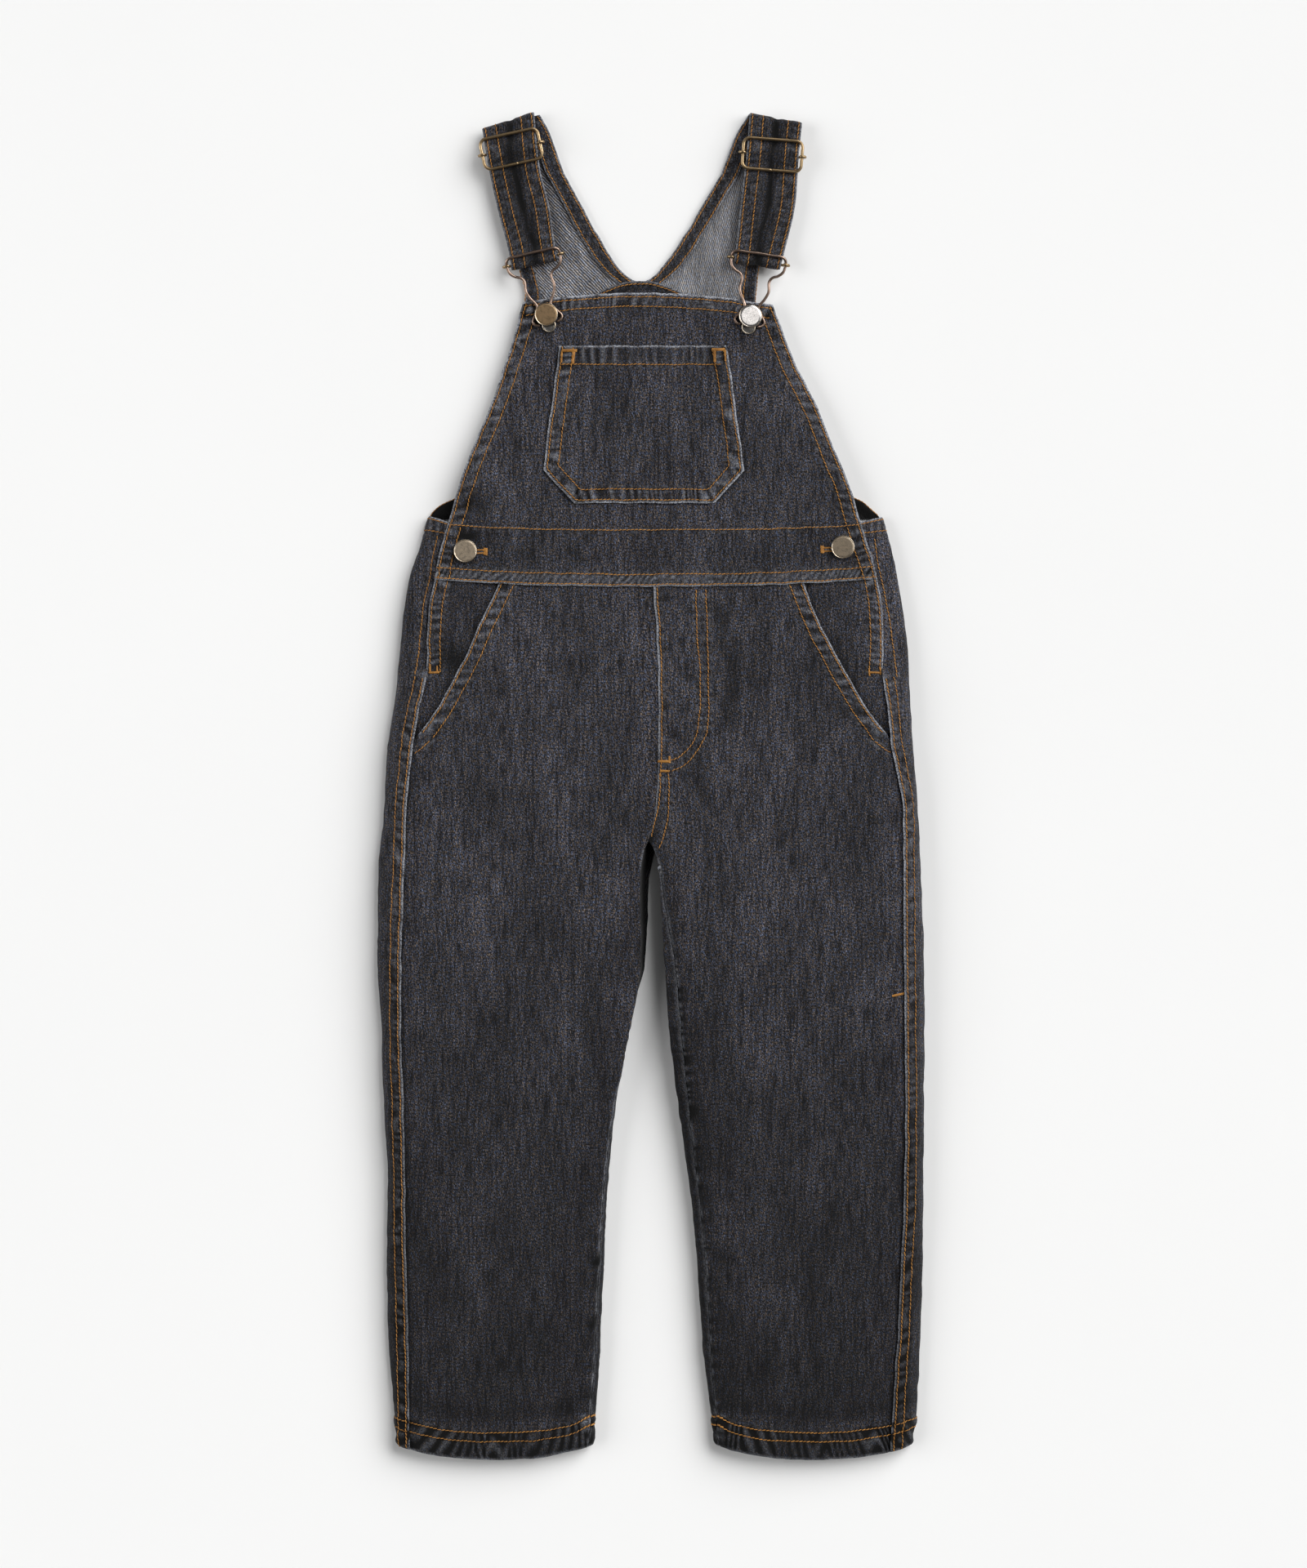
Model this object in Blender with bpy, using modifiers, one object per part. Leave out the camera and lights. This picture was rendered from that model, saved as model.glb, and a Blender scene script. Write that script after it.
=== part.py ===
"""Child's denim dungarees, laid flat on a surface with the front up.

The garment lies on the plane z = 0 with its straps towards +Y, +Z up. Every cloth piece is a
surface lofted through cross-sections and given its wall by Solidify. The cross-sections at one
height along the garment all come from one closed ring per side: up over the outer fold, across
the front, round the inner fold, and back along the flat underside.

All lengths in the tables and constants are millimetres.
"""

import math

import bmesh
import bpy
from mathutils import Matrix, Vector

MM = 0.001

# Cloth
WALL = 1.2  # one layer of denim
GAP = 0.3  # clearance between neighbouring pieces
SEAM_CLEAR = 0.3  # each side of the inseam stays this far from it
SEAM_SHARES = (0.0, 0.4, 0.7, 0.88, 1.0)  # spacing of the points towards a seam
LAP = WALL + GAP  # how far a piece lies above the one it laps over
STRAP_WALL = 1.8  # a strap is sewn from two layers
SHOULDER_R = 1.5  # radius of a strap's shoulder fold

# Body section
FOLD_SHARE = 0.42  # height of the outermost point of a side fold, as a share of the section
FOLD_REACH = 24.0  # distance from the side fold to where the front lies level
FOLD_UNDER = 5.0  # distance from the side fold to where the underside meets the surface
FRONT_RISE = 1.2  # extra height in the middle of each half of the front
CROTCH_Y = -33.0
HEM_Y = -402.0
HEM_DIP = 10.5  # how much lower the middle of a leg's hem is than its ends
HEM_START = -345.0  # where the rows start to bend towards the hem's curve

# Front edges
UNDER_LAP = 5.0  # how far a front piece reaches under the back's lap at the side seam
SIDE_OPENING_FOOT = 68.0  # the side opening is above this, the closed side seam below
OPENING_STEP = 6.0  # length over which the back changes from over the front to under it
POCKET_FOOT = 27.0  # where the slanted pocket edge meets the side seam
FACING_FOOT = 30.0  # below this the pocket facing keeps its full depth under the front
FACING_REACH = 16.0  # how far the pocket facing runs on under the slanted edge
BACK_UNDER = 8.0  # how far the back reaches in under the front at the side opening
WAISTBAND_FOOT, FOOT_CURVE = 121.5, 4.5  # height at the middle, and how much higher at the ends
WAISTBAND_TOP, TOP_CURVE = 157.0, 3.0
WAISTBAND_HALF = 130.0
BIB_TOP, BIB_CURVE = 301.5, 3.4  # height at the middle, and how much lower at the ends
BIB_MIDDLE, BIB_HALF = -5.0, 72.0
BIB_UNDER = 8.0  # how far the bib reaches down under the waistband

# Hardware
WIRE_R = 0.875
CURL_R = 2 * WIRE_R + GAP  # a bar's end curls round another wire at this radius
BUTTON_R, BUTTON_HEIGHT = 7.1, 2.1
SHANK_R = 2.2
BIB_BUTTON_GAP, SIDE_BUTTON_GAP = 2.6, 0.7  # height of a button's head above its foot

LEFT, RIGHT = -1, 1

# Outline of the body by height along the garment. fold: the folded side edge. edge: the side
# seam, and above the foot of the side opening the front's own side edge.
OUTLINE_COLUMNS = ("y", "fold_left", "edge_left", "edge_right", "fold_right")
OUTLINE = (
    (300, -93.5, -76.5, 72.0, 88.5),
    (261, -105.0, -88.0, 86.8, 104.0),
    (231, -115.5, -98.5, 101.5, 118.5),
    (201, -128.0, -111.0, 113.8, 131.0),
    (181, -134.0, -118.0, 122.0, 138.5),
    (163, -135.8, -123.0, 127.0, 141.2),
    (150, -140.0, -126.8, 131.0, 145.5),
    (138, -144.3, -129.6, 135.0, 148.5),
    (125, -148.3, -132.0, 138.3, 151.0),
    (110, -150.5, -135.0, 140.8, 153.3),
    (90, -152.8, -136.5, 141.3, 156.3),
    (72, -154.5, -136.5, 141.2, 157.5),
    (50, -157.0, -141.0, 144.3, 158.6),
    (28, -160.5, -145.0, 146.3, 159.8),
    (8, -162.0, -147.3, 150.0, 161.5),
    (-18, -163.2, -149.4, 154.0, 163.3),
    (-50, -166.5, -150.5, 154.0, 164.7),
    (-105, -167.0, -152.5, 154.5, 166.7),
    (-145, -165.0, -152.8, 154.8, 167.0),
    (-195, -163.2, -151.3, 155.3, 166.8),
    (-235, -161.0, -150.5, 155.0, 166.5),
    (-300, -161.4, -149.5, 152.5, 166.0),
    (-340, -160.3, -148.5, 150.5, 164.6),
    (-375, -157.6, -148.0, 148.0, 162.8),
    (-403, -155.5, -147.5, 146.5, 160.0),
)

# Centre front seam, above the crotch.
CENTRE_COLUMNS = ("y", "x")
CENTRE = (
    (300, -2.0),
    (163, 0.5),
    (121, 1.5),
    (93, 3.3),
    (44, 4.4),
    (14, 4.5),
    (-10, 3.0),
    (-33, -1.5),
)

# Inner edges of the legs below the crotch. inseam: how far the seam lies in from that edge on
# top of the leg, or under it where it is negative.
INNER_COLUMNS = ("y", "left", "inseam_left", "right", "inseam_right")
INNER = (
    (-33, -1.5, 0.0, -1.5, 0.0),
    (-41, -4.6, 0.0, 2.6, 0.0),
    (-52, -6.2, -0.5, 5.0, 0.5),
    (-75, -6.3, -2.0, 6.2, 2.5),
    (-105, -6.3, -2.0, 8.0, 6.0),
    (-145, -12.0, -2.0, 10.5, 8.5),
    (-195, -21.5, 0.8, 16.5, 7.3),
    (-235, -25.7, 2.3, 22.0, 6.3),
    (-270, -27.8, 3.3, 26.3, 6.8),
    (-300, -29.0, 4.0, 28.5, 7.0),
    (-340, -31.0, 4.0, 31.3, 7.0),
    (-375, -33.0, 4.0, 35.5, 5.5),
    (-403, -35.5, 3.8, 39.5, 3.0),
)

# Thickness of the laid-out garment. height: at the level part of the front. inner_share: height
# at the centre seam or inner fold as a share of it, reached over inner_reach. inner_under:
# distance from the inner fold to where the underside meets the surface.
DEPTH_COLUMNS = ("y", "height", "inner_share", "inner_reach", "inner_under")
DEPTH = (
    (300, 6.4, 1.0, 40.0, 0.0),
    (240, 8.2, 1.0, 40.0, 0.0),
    (200, 9.8, 1.0, 40.0, 0.0),
    (163, 11.5, 1.0, 40.0, 0.0),
    (125, 14.0, 1.0, 40.0, 0.0),
    (70, 15.3, 1.0, 40.0, 0.0),
    (28, 15.5, 0.93, 36.0, 0.0),
    (0, 15.5, 0.8, 30.0, 0.0),
    (-33, 15.0, 0.56, 24.0, 1.5),
    (-52, 15.2, 0.46, 18.0, 3.0),
    (-80, 15.5, 0.42, 15.0, 4.5),
    (-145, 15.0, 0.42, 14.0, 5.0),
    (-235, 13.5, 0.42, 14.0, 5.0),
    (-340, 11.8, 0.42, 13.0, 4.5),
    (-403, 10.6, 0.42, 12.0, 4.0),
)

# Slanted hip pocket edge of the trouser front.
POCKET_EDGE_COLUMNS = ("y", "left", "right")
POCKET_EDGE = (
    (131, -88.5, 90.0),
    (121, -93.3, 94.0),
    (103, -102.5, 100.8),
    (84, -110.5, 110.5),
    (66, -119.8, 120.3),
    (50, -128.3, 129.5),
    (34, -139.5, 141.5),
    (27, -145.0, 146.4),
)

# Upper back. armhole: its outer edges. neck: the edges of the V between its strap extensions.
BACK_COLUMNS = ("y", "armhole_left", "neck_left", "neck_right", "armhole_right")
NECK_X, NECK_POINT = -6.0, 308.6  # the lowest point of the V
BACK = (
    (163.3, -135.5, NECK_X, NECK_X, 141.0),
    (166, -134.8, NECK_X, NECK_X, 138.5),
    (169.5, -132.0, NECK_X, NECK_X, 134.5),
    (173.3, -125.8, NECK_X, NECK_X, 129.8),
    (177.0, -118.0, NECK_X, NECK_X, 122.5),
    (188, -109.5, NECK_X, NECK_X, 113.5),
    (205, -101.0, NECK_X, NECK_X, 102.5),
    (231, -90.0, NECK_X, NECK_X, 88.5),
    (261, -80.5, NECK_X, NECK_X, 72.0),
    (285, -77.0, NECK_X, NECK_X, 65.0),
    (300, -76.8, NECK_X, NECK_X, 64.0),
    (NECK_POINT, -78.3, NECK_X, NECK_X, 64.8),
    (310, -78.7, -11.5, -1.0, 65.0),
    (319, -81.0, -21.3, 8.0, 66.5),
    (330, -84.0, -28.5, 16.0, 71.0),
    (345, -88.5, -37.2, 25.5, 77.0),
    (360, -92.8, -44.9, 34.2, 82.5),
    (375, -96.5, -53.0, 43.0, 85.5),
    (388, -99.3, -58.1, 48.3, 88.0),
    (400, -101.0, -62.7, 53.4, 89.8),
    (411, -101.0, -68.0, 60.0, 90.0),
)
SHOULDER_START = 375.0  # above this the rows turn towards the line of the shoulder fold

# Shoulder folds: the end points of each, outer then inner.
SHOULDER = {LEFT: ((-103.0, 400.6), (-68.0, 411.0)), RIGHT: ((92.0, 404.6), (60.0, 411.4))}
FACING_WIDTH = 11.0
HEM_WIDTH = 9.0
ARMHOLE_HEM = (186.0, 398.0)
CROSS_HALF, CROSS_FOOT, CROSS_TOP, CROSS_CURVE = 26.0, 288.0, 309.0, 7.5

# Strap edges, from the shoulder fold to the fold round the hook's bar.
STRAP_COLUMNS = ("along", "outer_x", "outer_y", "inner_x", "inner_y")
STRAP = {
    LEFT: (
        (0, -103.2, 401.9, -71.5, 412.3),
        (30.5, -98.5, 374.3, -68.3, 380.0),
        (56.7, -93.0, 349.8, -62.0, 353.0),
        (81.8, -86.5, 324.3, -58.5, 329.3),
        (91.9, -85.0, 313.6, -56.5, 320.3),
    ),
    RIGHT: (
        (0, 92.3, 405.5, 60.3, 411.8),
        (23.6, 90.2, 384.0, 58.3, 386.5),
        (50.5, 88.3, 357.0, 55.2, 360.0),
        (81.1, 81.5, 326.5, 51.9, 329.8),
        (92.6, 78.5, 314.8, 50.5, 318.8),
    ),
}

# Where a strap's wires lie along it, and where the wires are on the garment.
SLIDER = {
    LEFT: {"centre": (-85.3, 388.9), "turn": 12.5, "along": 18.5},
    RIGHT: {"centre": (74.1, 385.4), "turn": -4.5, "along": 23.4},
}
SLIDER_HALF = (18.0, 9.4)
SLIDER_CORNER = 4.0
SLIDER_Z = 8.45
HOOK = {
    LEFT: {"button": (-63.8, 287.6), "turn": 13.4, "along": 87.7},
    RIGHT: {"button": (60.5, 286.5), "turn": -8.5, "along": 89.0},
}
HOOK_BAR_UP = 34.3  # distance of the hook's bar above the button
HOOK_BAR_Z = 6.0

# Half of the hook's wire seen from above, from the middle of its top to the end of its ear, as
# distances from the button's centre across and up.
HOOK_COLUMNS = ("across", "up", "z")
HOOK_TOP_Z, HOOK_SIDE_Z, HOOK_FOOT_Z = 9.8, HOOK_BAR_Z + CURL_R, 8.6
HOOK_HALF = (
    (0.0, 38.9, HOOK_TOP_Z),
    (7.0, 38.7, HOOK_TOP_Z),
    (13.2, 38.7, HOOK_TOP_Z),
    (16.0, 37.3, 9.2),
    (16.7, HOOK_BAR_UP, HOOK_SIDE_Z),
    (15.9, 29.8, HOOK_SIDE_Z),
    (13.2, 27.0, HOOK_SIDE_Z),
    (10.0, 25.4, HOOK_SIDE_Z),
    (8.3, 22.3, HOOK_SIDE_Z),
    (8.9, 16.7, HOOK_FOOT_Z),
    (7.2, 11.8, HOOK_FOOT_Z),
    (5.0, 8.2, HOOK_FOOT_Z),
    (4.3, 5.0, HOOK_FOOT_Z),
    (7.0, 1.0, HOOK_FOOT_Z),
    (9.0, -2.3, HOOK_FOOT_Z),
    (7.9, -4.7, HOOK_FOOT_Z),
    (5.6, -5.6, HOOK_FOOT_Z),
)
PLATE_HALF_WIDTH, PLATE_TOP, PLATE_FOOT, PLATE_WALL = 4.1, -3.4, -10.9, 1.0
SIDE_BUTTON = {LEFT: (-112.9, 143.1), RIGHT: (116.8, 145.5)}

POCKET_COLUMNS = ("y", "left", "right")
POCKET = (
    (172.5, -47.0, 39.0),
    (192.5, -65.8, 56.8),
    (256.0, -57.6, 48.3),
    (268.8, -56.0, 45.6),
)

# Finishes: colour, roughness, metallic.
DENIM = ((0.046, 0.045, 0.053), 0.92, 0.0)
DENIM_BACK = ((0.23, 0.24, 0.26), 0.93, 0.0)
BRASS = ((0.42, 0.31, 0.17), 0.34, 1.0)
COPPER_WIRE = ((0.40, 0.30, 0.24), 0.32, 1.0)
BUTTON_METAL = ((0.30, 0.24, 0.17), 0.38, 1.0)

BACK_ROWS = (
    163, 152, 138, 125, 110, 92, 80, 74, 66, 50, 30, 8, -14, -30, -33, -41, -52, -75,
    -105, -145, -195, -235, -270, -300, -340, -370, -388, -402,
)
FRONT_ROWS = (
    130, 118, 100, 84, 66, 50, 38, 29, 22, 8, -14, -30, -33, -41, -52, -75,
    -105, -145, -195, -235, -270, -300, -340, -370, -388, -402,
)


def at(table, columns, name, y):
    """Value of a table's column at y, on a smooth curve through its rows."""
    column = columns.index(name)
    rows = sorted((row[0], row[column]) for row in table)
    if y <= rows[0][0]:
        return rows[0][1]
    if y >= rows[-1][0]:
        return rows[-1][1]
    i = max(k for k in range(len(rows) - 1) if rows[k][0] <= y)
    (y0, v0), (y1, v1) = rows[i], rows[i + 1]
    step = y1 - y0
    slope = (v1 - v0) / step
    before = (v0 - rows[i - 1][1]) / (y0 - rows[i - 1][0]) if i > 0 else slope
    after = (rows[i + 2][1] - v1) / (rows[i + 2][0] - y1) if i + 2 < len(rows) else slope
    start = 0.0 if before * slope <= 0 else 2 * before * slope / (before + slope)
    end = 0.0 if after * slope <= 0 else 2 * after * slope / (after + slope)
    f = (y - y0) / step
    return (
        v0 * (1 + 2 * f) * (1 - f) ** 2
        + v1 * f * f * (3 - 2 * f)
        + step * start * f * (1 - f) ** 2
        - step * end * f * f * (1 - f)
    )


def line_at(table, columns, name, y):
    """Value of a table's column at y on straight lines between its rows."""
    column = columns.index(name)
    for low, high in zip(table, table[1:]):
        if low[0] <= y <= high[0]:
            return mix(low[column], high[column], (y - low[0]) / (high[0] - low[0]))
    return table[-1][column]


def side_name(side):
    return "left" if side == LEFT else "right"


def outline(name, side, y):
    return at(OUTLINE, OUTLINE_COLUMNS, f"{name}_{side_name(side)}", y)


def depth(name, y):
    return at(DEPTH, DEPTH_COLUMNS, name, y)


def ease(value):
    """0 to 1 with level ends."""
    f = min(1.0, max(0.0, value))
    return f * f * (3 - 2 * f)


def mix(a, b, f):
    return a + (b - a) * f


def inner_edge(side, y):
    """Centre seam above the crotch, inner fold below it, half a gap to this side of it."""
    if y >= CROTCH_Y:
        return at(CENTRE, CENTRE_COLUMNS, "x", y) + side * GAP / 2
    return at(INNER, INNER_COLUMNS, side_name(side), y) + side * GAP / 2


class Section:
    """The body's closed ring on one side at one height.

    A place on the ring is a number: 0 at the outer fold, 1 and 2 at the ends of the level
    front, 3 at the inner fold or centre seam, 4 and 5 at the ends of the underside, 6 at the
    outer fold again.
    """

    def __init__(self, side, y):
        self.side, self.y = side, y
        self.fold = outline("fold", side, y)
        self.width = abs(inner_edge(side, y) - self.fold)
        self.height = depth("height", y)
        self.inner_height = self.height * depth("inner_share", y)
        self.fold_height = self.height * FOLD_SHARE
        self.reach = depth("inner_reach", y)
        self.under = depth("inner_under", y)

    def flat_place(self, ring):
        """Distance in from the fold, and height."""
        quarter = math.pi / 2
        if ring <= 1:
            a = ring * quarter
            return FOLD_REACH * (1 - math.cos(a)), mix(self.fold_height, self.height, math.sin(a))
        if ring <= 2:
            f = ring - 1
            across = mix(FOLD_REACH, self.width - self.reach, f)
            return across, self.height + FRONT_RISE * math.sin(math.pi * f)
        if ring <= 3:
            a = (3 - ring) * quarter
            across = self.width - self.reach * (1 - math.cos(a))
            return across, mix(self.inner_height, self.height, math.sin(a))
        if ring <= 4:
            a = (ring - 3) * quarter
            return self.width - self.under * (1 - math.cos(a)), self.inner_height * (1 - math.sin(a))
        if ring <= 5:
            return mix(self.width - self.under, FOLD_UNDER, ring - 4), 0.0
        a = (6 - ring) * quarter
        return FOLD_UNDER * (1 - math.cos(a)), self.fold_height * (1 - math.sin(a))

    def ring_of(self, across):
        """The place on top of the ring that is this far in from the fold."""
        if across < FOLD_REACH:
            return math.acos(1 - max(0.0, across) / FOLD_REACH) / (math.pi / 2)
        level = self.width - self.reach
        if across < level:
            return 1 + (across - FOLD_REACH) / (level - FOLD_REACH)
        back = min(1.0, max(0.0, (self.width - across) / self.reach))
        return 3 - math.acos(1 - back) / (math.pi / 2)

    def point(self, ring, lift=0.0):
        """The ring's point as (x, z), moved out by lift."""
        across, z = self.flat_place(ring)
        if lift:
            small = 0.01
            a0, z0 = self.flat_place(max(0.0, ring - small))
            a1, z1 = self.flat_place(min(6.0, ring + small))
            length = math.hypot(a1 - a0, z1 - z0)
            across -= lift * (z1 - z0) / length
            z += lift * (a1 - a0) / length
        return self.fold - self.side * across, z


def on_front(x, y, lift=0.0):
    """A point of the front's outer surface above (x, y), moved out by lift."""
    side = LEFT if x < at(CENTRE, CENTRE_COLUMNS, "x", y) else RIGHT
    section = Section(side, y)
    x_out, z = section.point(section.ring_of(abs(x - section.fold)), lift)
    return Vector((x_out, y, z))


def inseam_ring(section, clear):
    """Where the seam between front and back lies at the inner fold, moved along by clear."""
    inset = at(INNER, INNER_COLUMNS, f"inseam_{side_name(section.side)}", section.y)
    ring = section.ring_of(section.width - inset) if inset > 0 else 3 - inset / 10
    small = 0.02
    before, after = section.flat_place(ring - small), section.flat_place(ring + small)
    return ring + clear * 2 * small / math.dist(before, after)


def dipped(section, x, y):
    """y moved down to the hem's curve, more so nearer the hem."""
    share = 2 * abs(x - section.fold) / section.width - 1
    dip = HEM_DIP * (1 - min(1.0, abs(share)) ** 2.5)
    return y - dip * ease((HEM_START - y) / (HEM_START - HEM_Y))


def material_of(obj, finish):
    """Give the object a material of its own in this finish."""
    colour, roughness, metallic = finish
    material = bpy.data.materials.new(obj.name)
    material.use_nodes = True
    shader = material.node_tree.nodes["Principled BSDF"]
    shader.inputs["Base Color"].default_value = (*colour, 1.0)
    shader.inputs["Roughness"].default_value = roughness
    shader.inputs["Metallic"].default_value = metallic
    material.diffuse_color = (*colour, 1.0)
    obj.data.materials.append(material)


def keep(name, data, collection, finish):
    obj = bpy.data.objects.new(name, data)
    collection.objects.link(obj)
    material_of(obj, finish)
    return obj


def cloth(name, grid, up, collection, finish=DENIM, wall=WALL, offset=-1.0):
    """A wall of cloth inside the surface through a grid of points.

    up is the direction that most of the outer face looks in.
    """
    mesh = bpy.data.meshes.new(name)
    build = bmesh.new()
    verts = [[build.verts.new(Vector(p) * MM) for p in row] for row in grid]
    for row, below in zip(verts, verts[1:]):
        for i in range(len(row) - 1):
            build.faces.new((row[i], row[i + 1], below[i + 1], below[i]))
    bmesh.ops.remove_doubles(build, verts=build.verts, dist=1e-6)
    bmesh.ops.recalc_face_normals(build, faces=build.faces)
    facing = sum((f.normal * f.calc_area() for f in build.faces), Vector())
    if facing.dot(Vector(up)) < 0:
        bmesh.ops.reverse_faces(build, faces=build.faces)
    build.to_mesh(mesh)
    build.free()
    obj = keep(name, mesh, collection, finish)
    solidify = obj.modifiers.new("Wall", "SOLIDIFY")
    solidify.thickness = wall * MM
    solidify.offset = offset
    solidify.use_even_offset = True
    return obj


def back_leg(side, collection):
    """Back of the trousers on one side: lap, outer fold, underside, inner fold.

    Below the side opening its edge laps over the front. Beside the opening it lies one layer
    lower and reaches in under the front.
    """
    rows = []
    for y in BACK_ROWS:
        section = Section(side, y)
        edge = abs(outline("edge", side, y) - section.fold)
        if y < SIDE_OPENING_FOOT:
            end, lift, lifted_at = edge - GAP, LAP, edge - UNDER_LAP - GAP
        else:
            opened = ease((y - SIDE_OPENING_FOOT) / OPENING_STEP - 1)
            end, lift, lifted_at = edge + mix(-GAP, BACK_UNDER, opened), -LAP, edge - 1
        row = []
        for i in range(5):
            across = end * (1 - i / 4) ** 1.5
            row.append((section.ring_of(across), lift * ease(across / lifted_at)))
        row += [(ring, 0.0) for ring in (5.67, 5.33, 5.0, 4.67, 4.33, 4.0)]
        if y <= CROTCH_Y:
            stop = inseam_ring(section, SEAM_CLEAR)
            row += [(mix(4, stop, share), 0.0) for share in SEAM_SHARES[1:]]
        else:
            row += [(4, 0.0)] * (len(SEAM_SHARES) - 1)
        points = []
        for ring, offset in row:
            x, z = section.point(ring, offset)
            points.append((x, dipped(section, x, y), z))
        rows.append(points)
    return cloth(f"back_leg_{side_name(side)}", rows, (0, 0, -1), collection)


def front_leg(side, collection):
    """Front of the trousers on one side, from pocket edge or side seam to centre or inseam."""
    rows = []
    for y in FRONT_ROWS:
        section = Section(side, y)
        edge = abs(outline("edge", side, y) - section.fold)
        start = edge - UNDER_LAP
        if y > POCKET_FOOT:
            slant = at(POCKET_EDGE, POCKET_EDGE_COLUMNS, side_name(side), y)
            start = abs(slant - section.fold)
        stop = inseam_ring(section, -SEAM_CLEAR) if y <= CROTCH_Y else 3.0
        first = section.ring_of(start)
        rings = [mix(first, 2, (i / 6)) for i in range(6)]
        rings += [mix(2, stop, share) for share in SEAM_SHARES]
        points = []
        for ring in rings:
            x, z = section.point(ring)
            points.append((x, dipped(section, x, y), z))
        rows.append(points)
    return cloth(f"front_leg_{side_name(side)}", rows, (0, 0, 1), collection)


def pocket_facing(side, collection):
    """Hip piece between the side edge and the slanted pocket edge, one layer lower."""
    rows = []
    for y in (129, 118, 104, 92, 80, 72, 66, 58, 48, 38, 30, 24):
        edge = outline("edge", side, y)
        under = UNDER_LAP * ease((SIDE_OPENING_FOOT - 4 - y) / 6)
        outer = edge + side * under
        slant = at(POCKET_EDGE, POCKET_EDGE_COLUMNS, side_name(side), y)
        inner = slant - side * FACING_REACH
        row = []
        for i in range(6):
            x = mix(outer, inner, i / 5)
            beside = ease(side * (x - slant) / 18)
            rise = beside * ease((y - FACING_FOOT) / 15)
            row.append(on_front(x, y, -LAP * (1 - rise)))
        rows.append(row)
    return cloth(f"pocket_facing_{side_name(side)}", rows, (0, 0, 1), collection)


def waistband_foot(x):
    return WAISTBAND_FOOT + FOOT_CURVE * abs(x / WAISTBAND_HALF) ** 2.5


def waistband_top(x):
    return WAISTBAND_TOP + TOP_CURVE * abs(x / WAISTBAND_HALF) ** 3


def across_front(share, low, high, height):
    """A point of the front between its side edges and between two curves in x."""
    middle = (low(0) + high(0)) / 2
    x = mix(outline("edge", LEFT, middle), outline("edge", RIGHT, middle), share)
    y = mix(low(x), high(x), height)
    return mix(outline("edge", LEFT, y), outline("edge", RIGHT, y), share), y


def waistband(collection):
    rows = []
    for j in range(5):
        row = []
        for i in range(19):
            x, y = across_front(i / 18, waistband_foot, waistband_top, j / 4)
            row.append(on_front(x, y, LAP))
        rows.append(row)
    return cloth("waistband", rows, (0, 0, 1), collection)


def bib_foot(x):
    return waistband_top(x) - BIB_UNDER


def bib_top(x):
    return BIB_TOP - BIB_CURVE * ((x - BIB_MIDDLE) / BIB_HALF) ** 2


def bib(collection):
    rows = []
    for j in range(13):
        row = []
        for i in range(15):
            x, y = across_front(i / 14, bib_foot, bib_top, j / 12)
            row.append(on_front(x, y))
        rows.append(row)
    return cloth("bib", rows, (0, 0, 1), collection)


def bib_pocket(collection):
    rows = []
    for y in (172.5, 182.5, 192.5, 212, 234, 256, 268.8):
        left = line_at(POCKET, POCKET_COLUMNS, "left", y)
        right = line_at(POCKET, POCKET_COLUMNS, "right", y)
        rows.append([on_front(mix(left, right, i / 8), y, LAP) for i in range(9)])
    return cloth("bib_pocket", rows, (0, 0, 1), collection)


def back_edge(name, y):
    return at(BACK, BACK_COLUMNS, name, y)


def to_shoulder(side, x, y):
    """y moved towards the shoulder fold's slanted line, more so nearer the fold."""
    (x0, y0), (x1, y1) = SHOULDER[side]
    top = BACK[-1][0]
    fold_y = mix(y0, y1, (x - x0) / (x1 - x0)) - GAP
    share = max(0.0, (y - SHOULDER_START) / (top - SHOULDER_START))
    return y + (fold_y - top) * share


def back_bib(collection):
    """Upper back with its two strap extensions, wrong side up."""
    rows = []
    for y in (row[0] for row in BACK):
        row = []
        for side in (LEFT, RIGHT):
            outer = back_edge(f"armhole_{side_name(side)}", y)
            inner = back_edge(f"neck_{side_name(side)}", y)
            half = []
            for i in range(5):
                x = mix(outer, inner, i / 4)
                half.append((x, to_shoulder(side, x, y), 0.0))
            row.append(half if side == LEFT else half[::-1])
        rows.append(row)
    mesh = bpy.data.meshes.new("back_bib")
    build = bmesh.new()
    for half in (0, 1):
        verts = [[build.verts.new(Vector(p) * MM) for p in row[half]] for row in rows]
        for row, above in zip(verts, verts[1:]):
            for i in range(4):
                build.faces.new((row[i], above[i], above[i + 1], row[i + 1]))
    bmesh.ops.remove_doubles(build, verts=build.verts, dist=1e-6)
    build.to_mesh(mesh)
    build.free()
    obj = keep("back_bib", mesh, collection, DENIM_BACK)
    solidify = obj.modifiers.new("Wall", "SOLIDIFY")
    solidify.thickness = WALL * MM
    solidify.offset = -1.0
    return obj


def strip(name, side, edge, inward, width, ys, level, collection):
    """A flat strip along an edge of the upper back, its outer face at the given height."""
    rows = []
    for y in ys:
        x0 = back_edge(edge, y)
        x1 = x0 + inward * width
        row = []
        for x in (x0, mix(x0, x1, 0.5), x1):
            row.append((x, to_shoulder(side, x, y), level))
        rows.append(row)
    return cloth(name, rows, (0, 0, 1), collection)


def back_strips(side, collection):
    """Neck facing and turned armhole hem on one side of the upper back."""
    name = side_name(side)
    level = WALL + LAP
    neck_rows = [row[0] for row in BACK if row[0] > NECK_POINT]
    strip(f"neck_facing_{name}", side, f"neck_{name}", side, FACING_WIDTH, neck_rows, level, collection)
    low, high = ARMHOLE_HEM
    hem_rows = [mix(low, high, i / 12) for i in range(13)]
    strip(f"armhole_hem_{name}", side, f"armhole_{name}", -side, HEM_WIDTH, hem_rows, level, collection)


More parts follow.
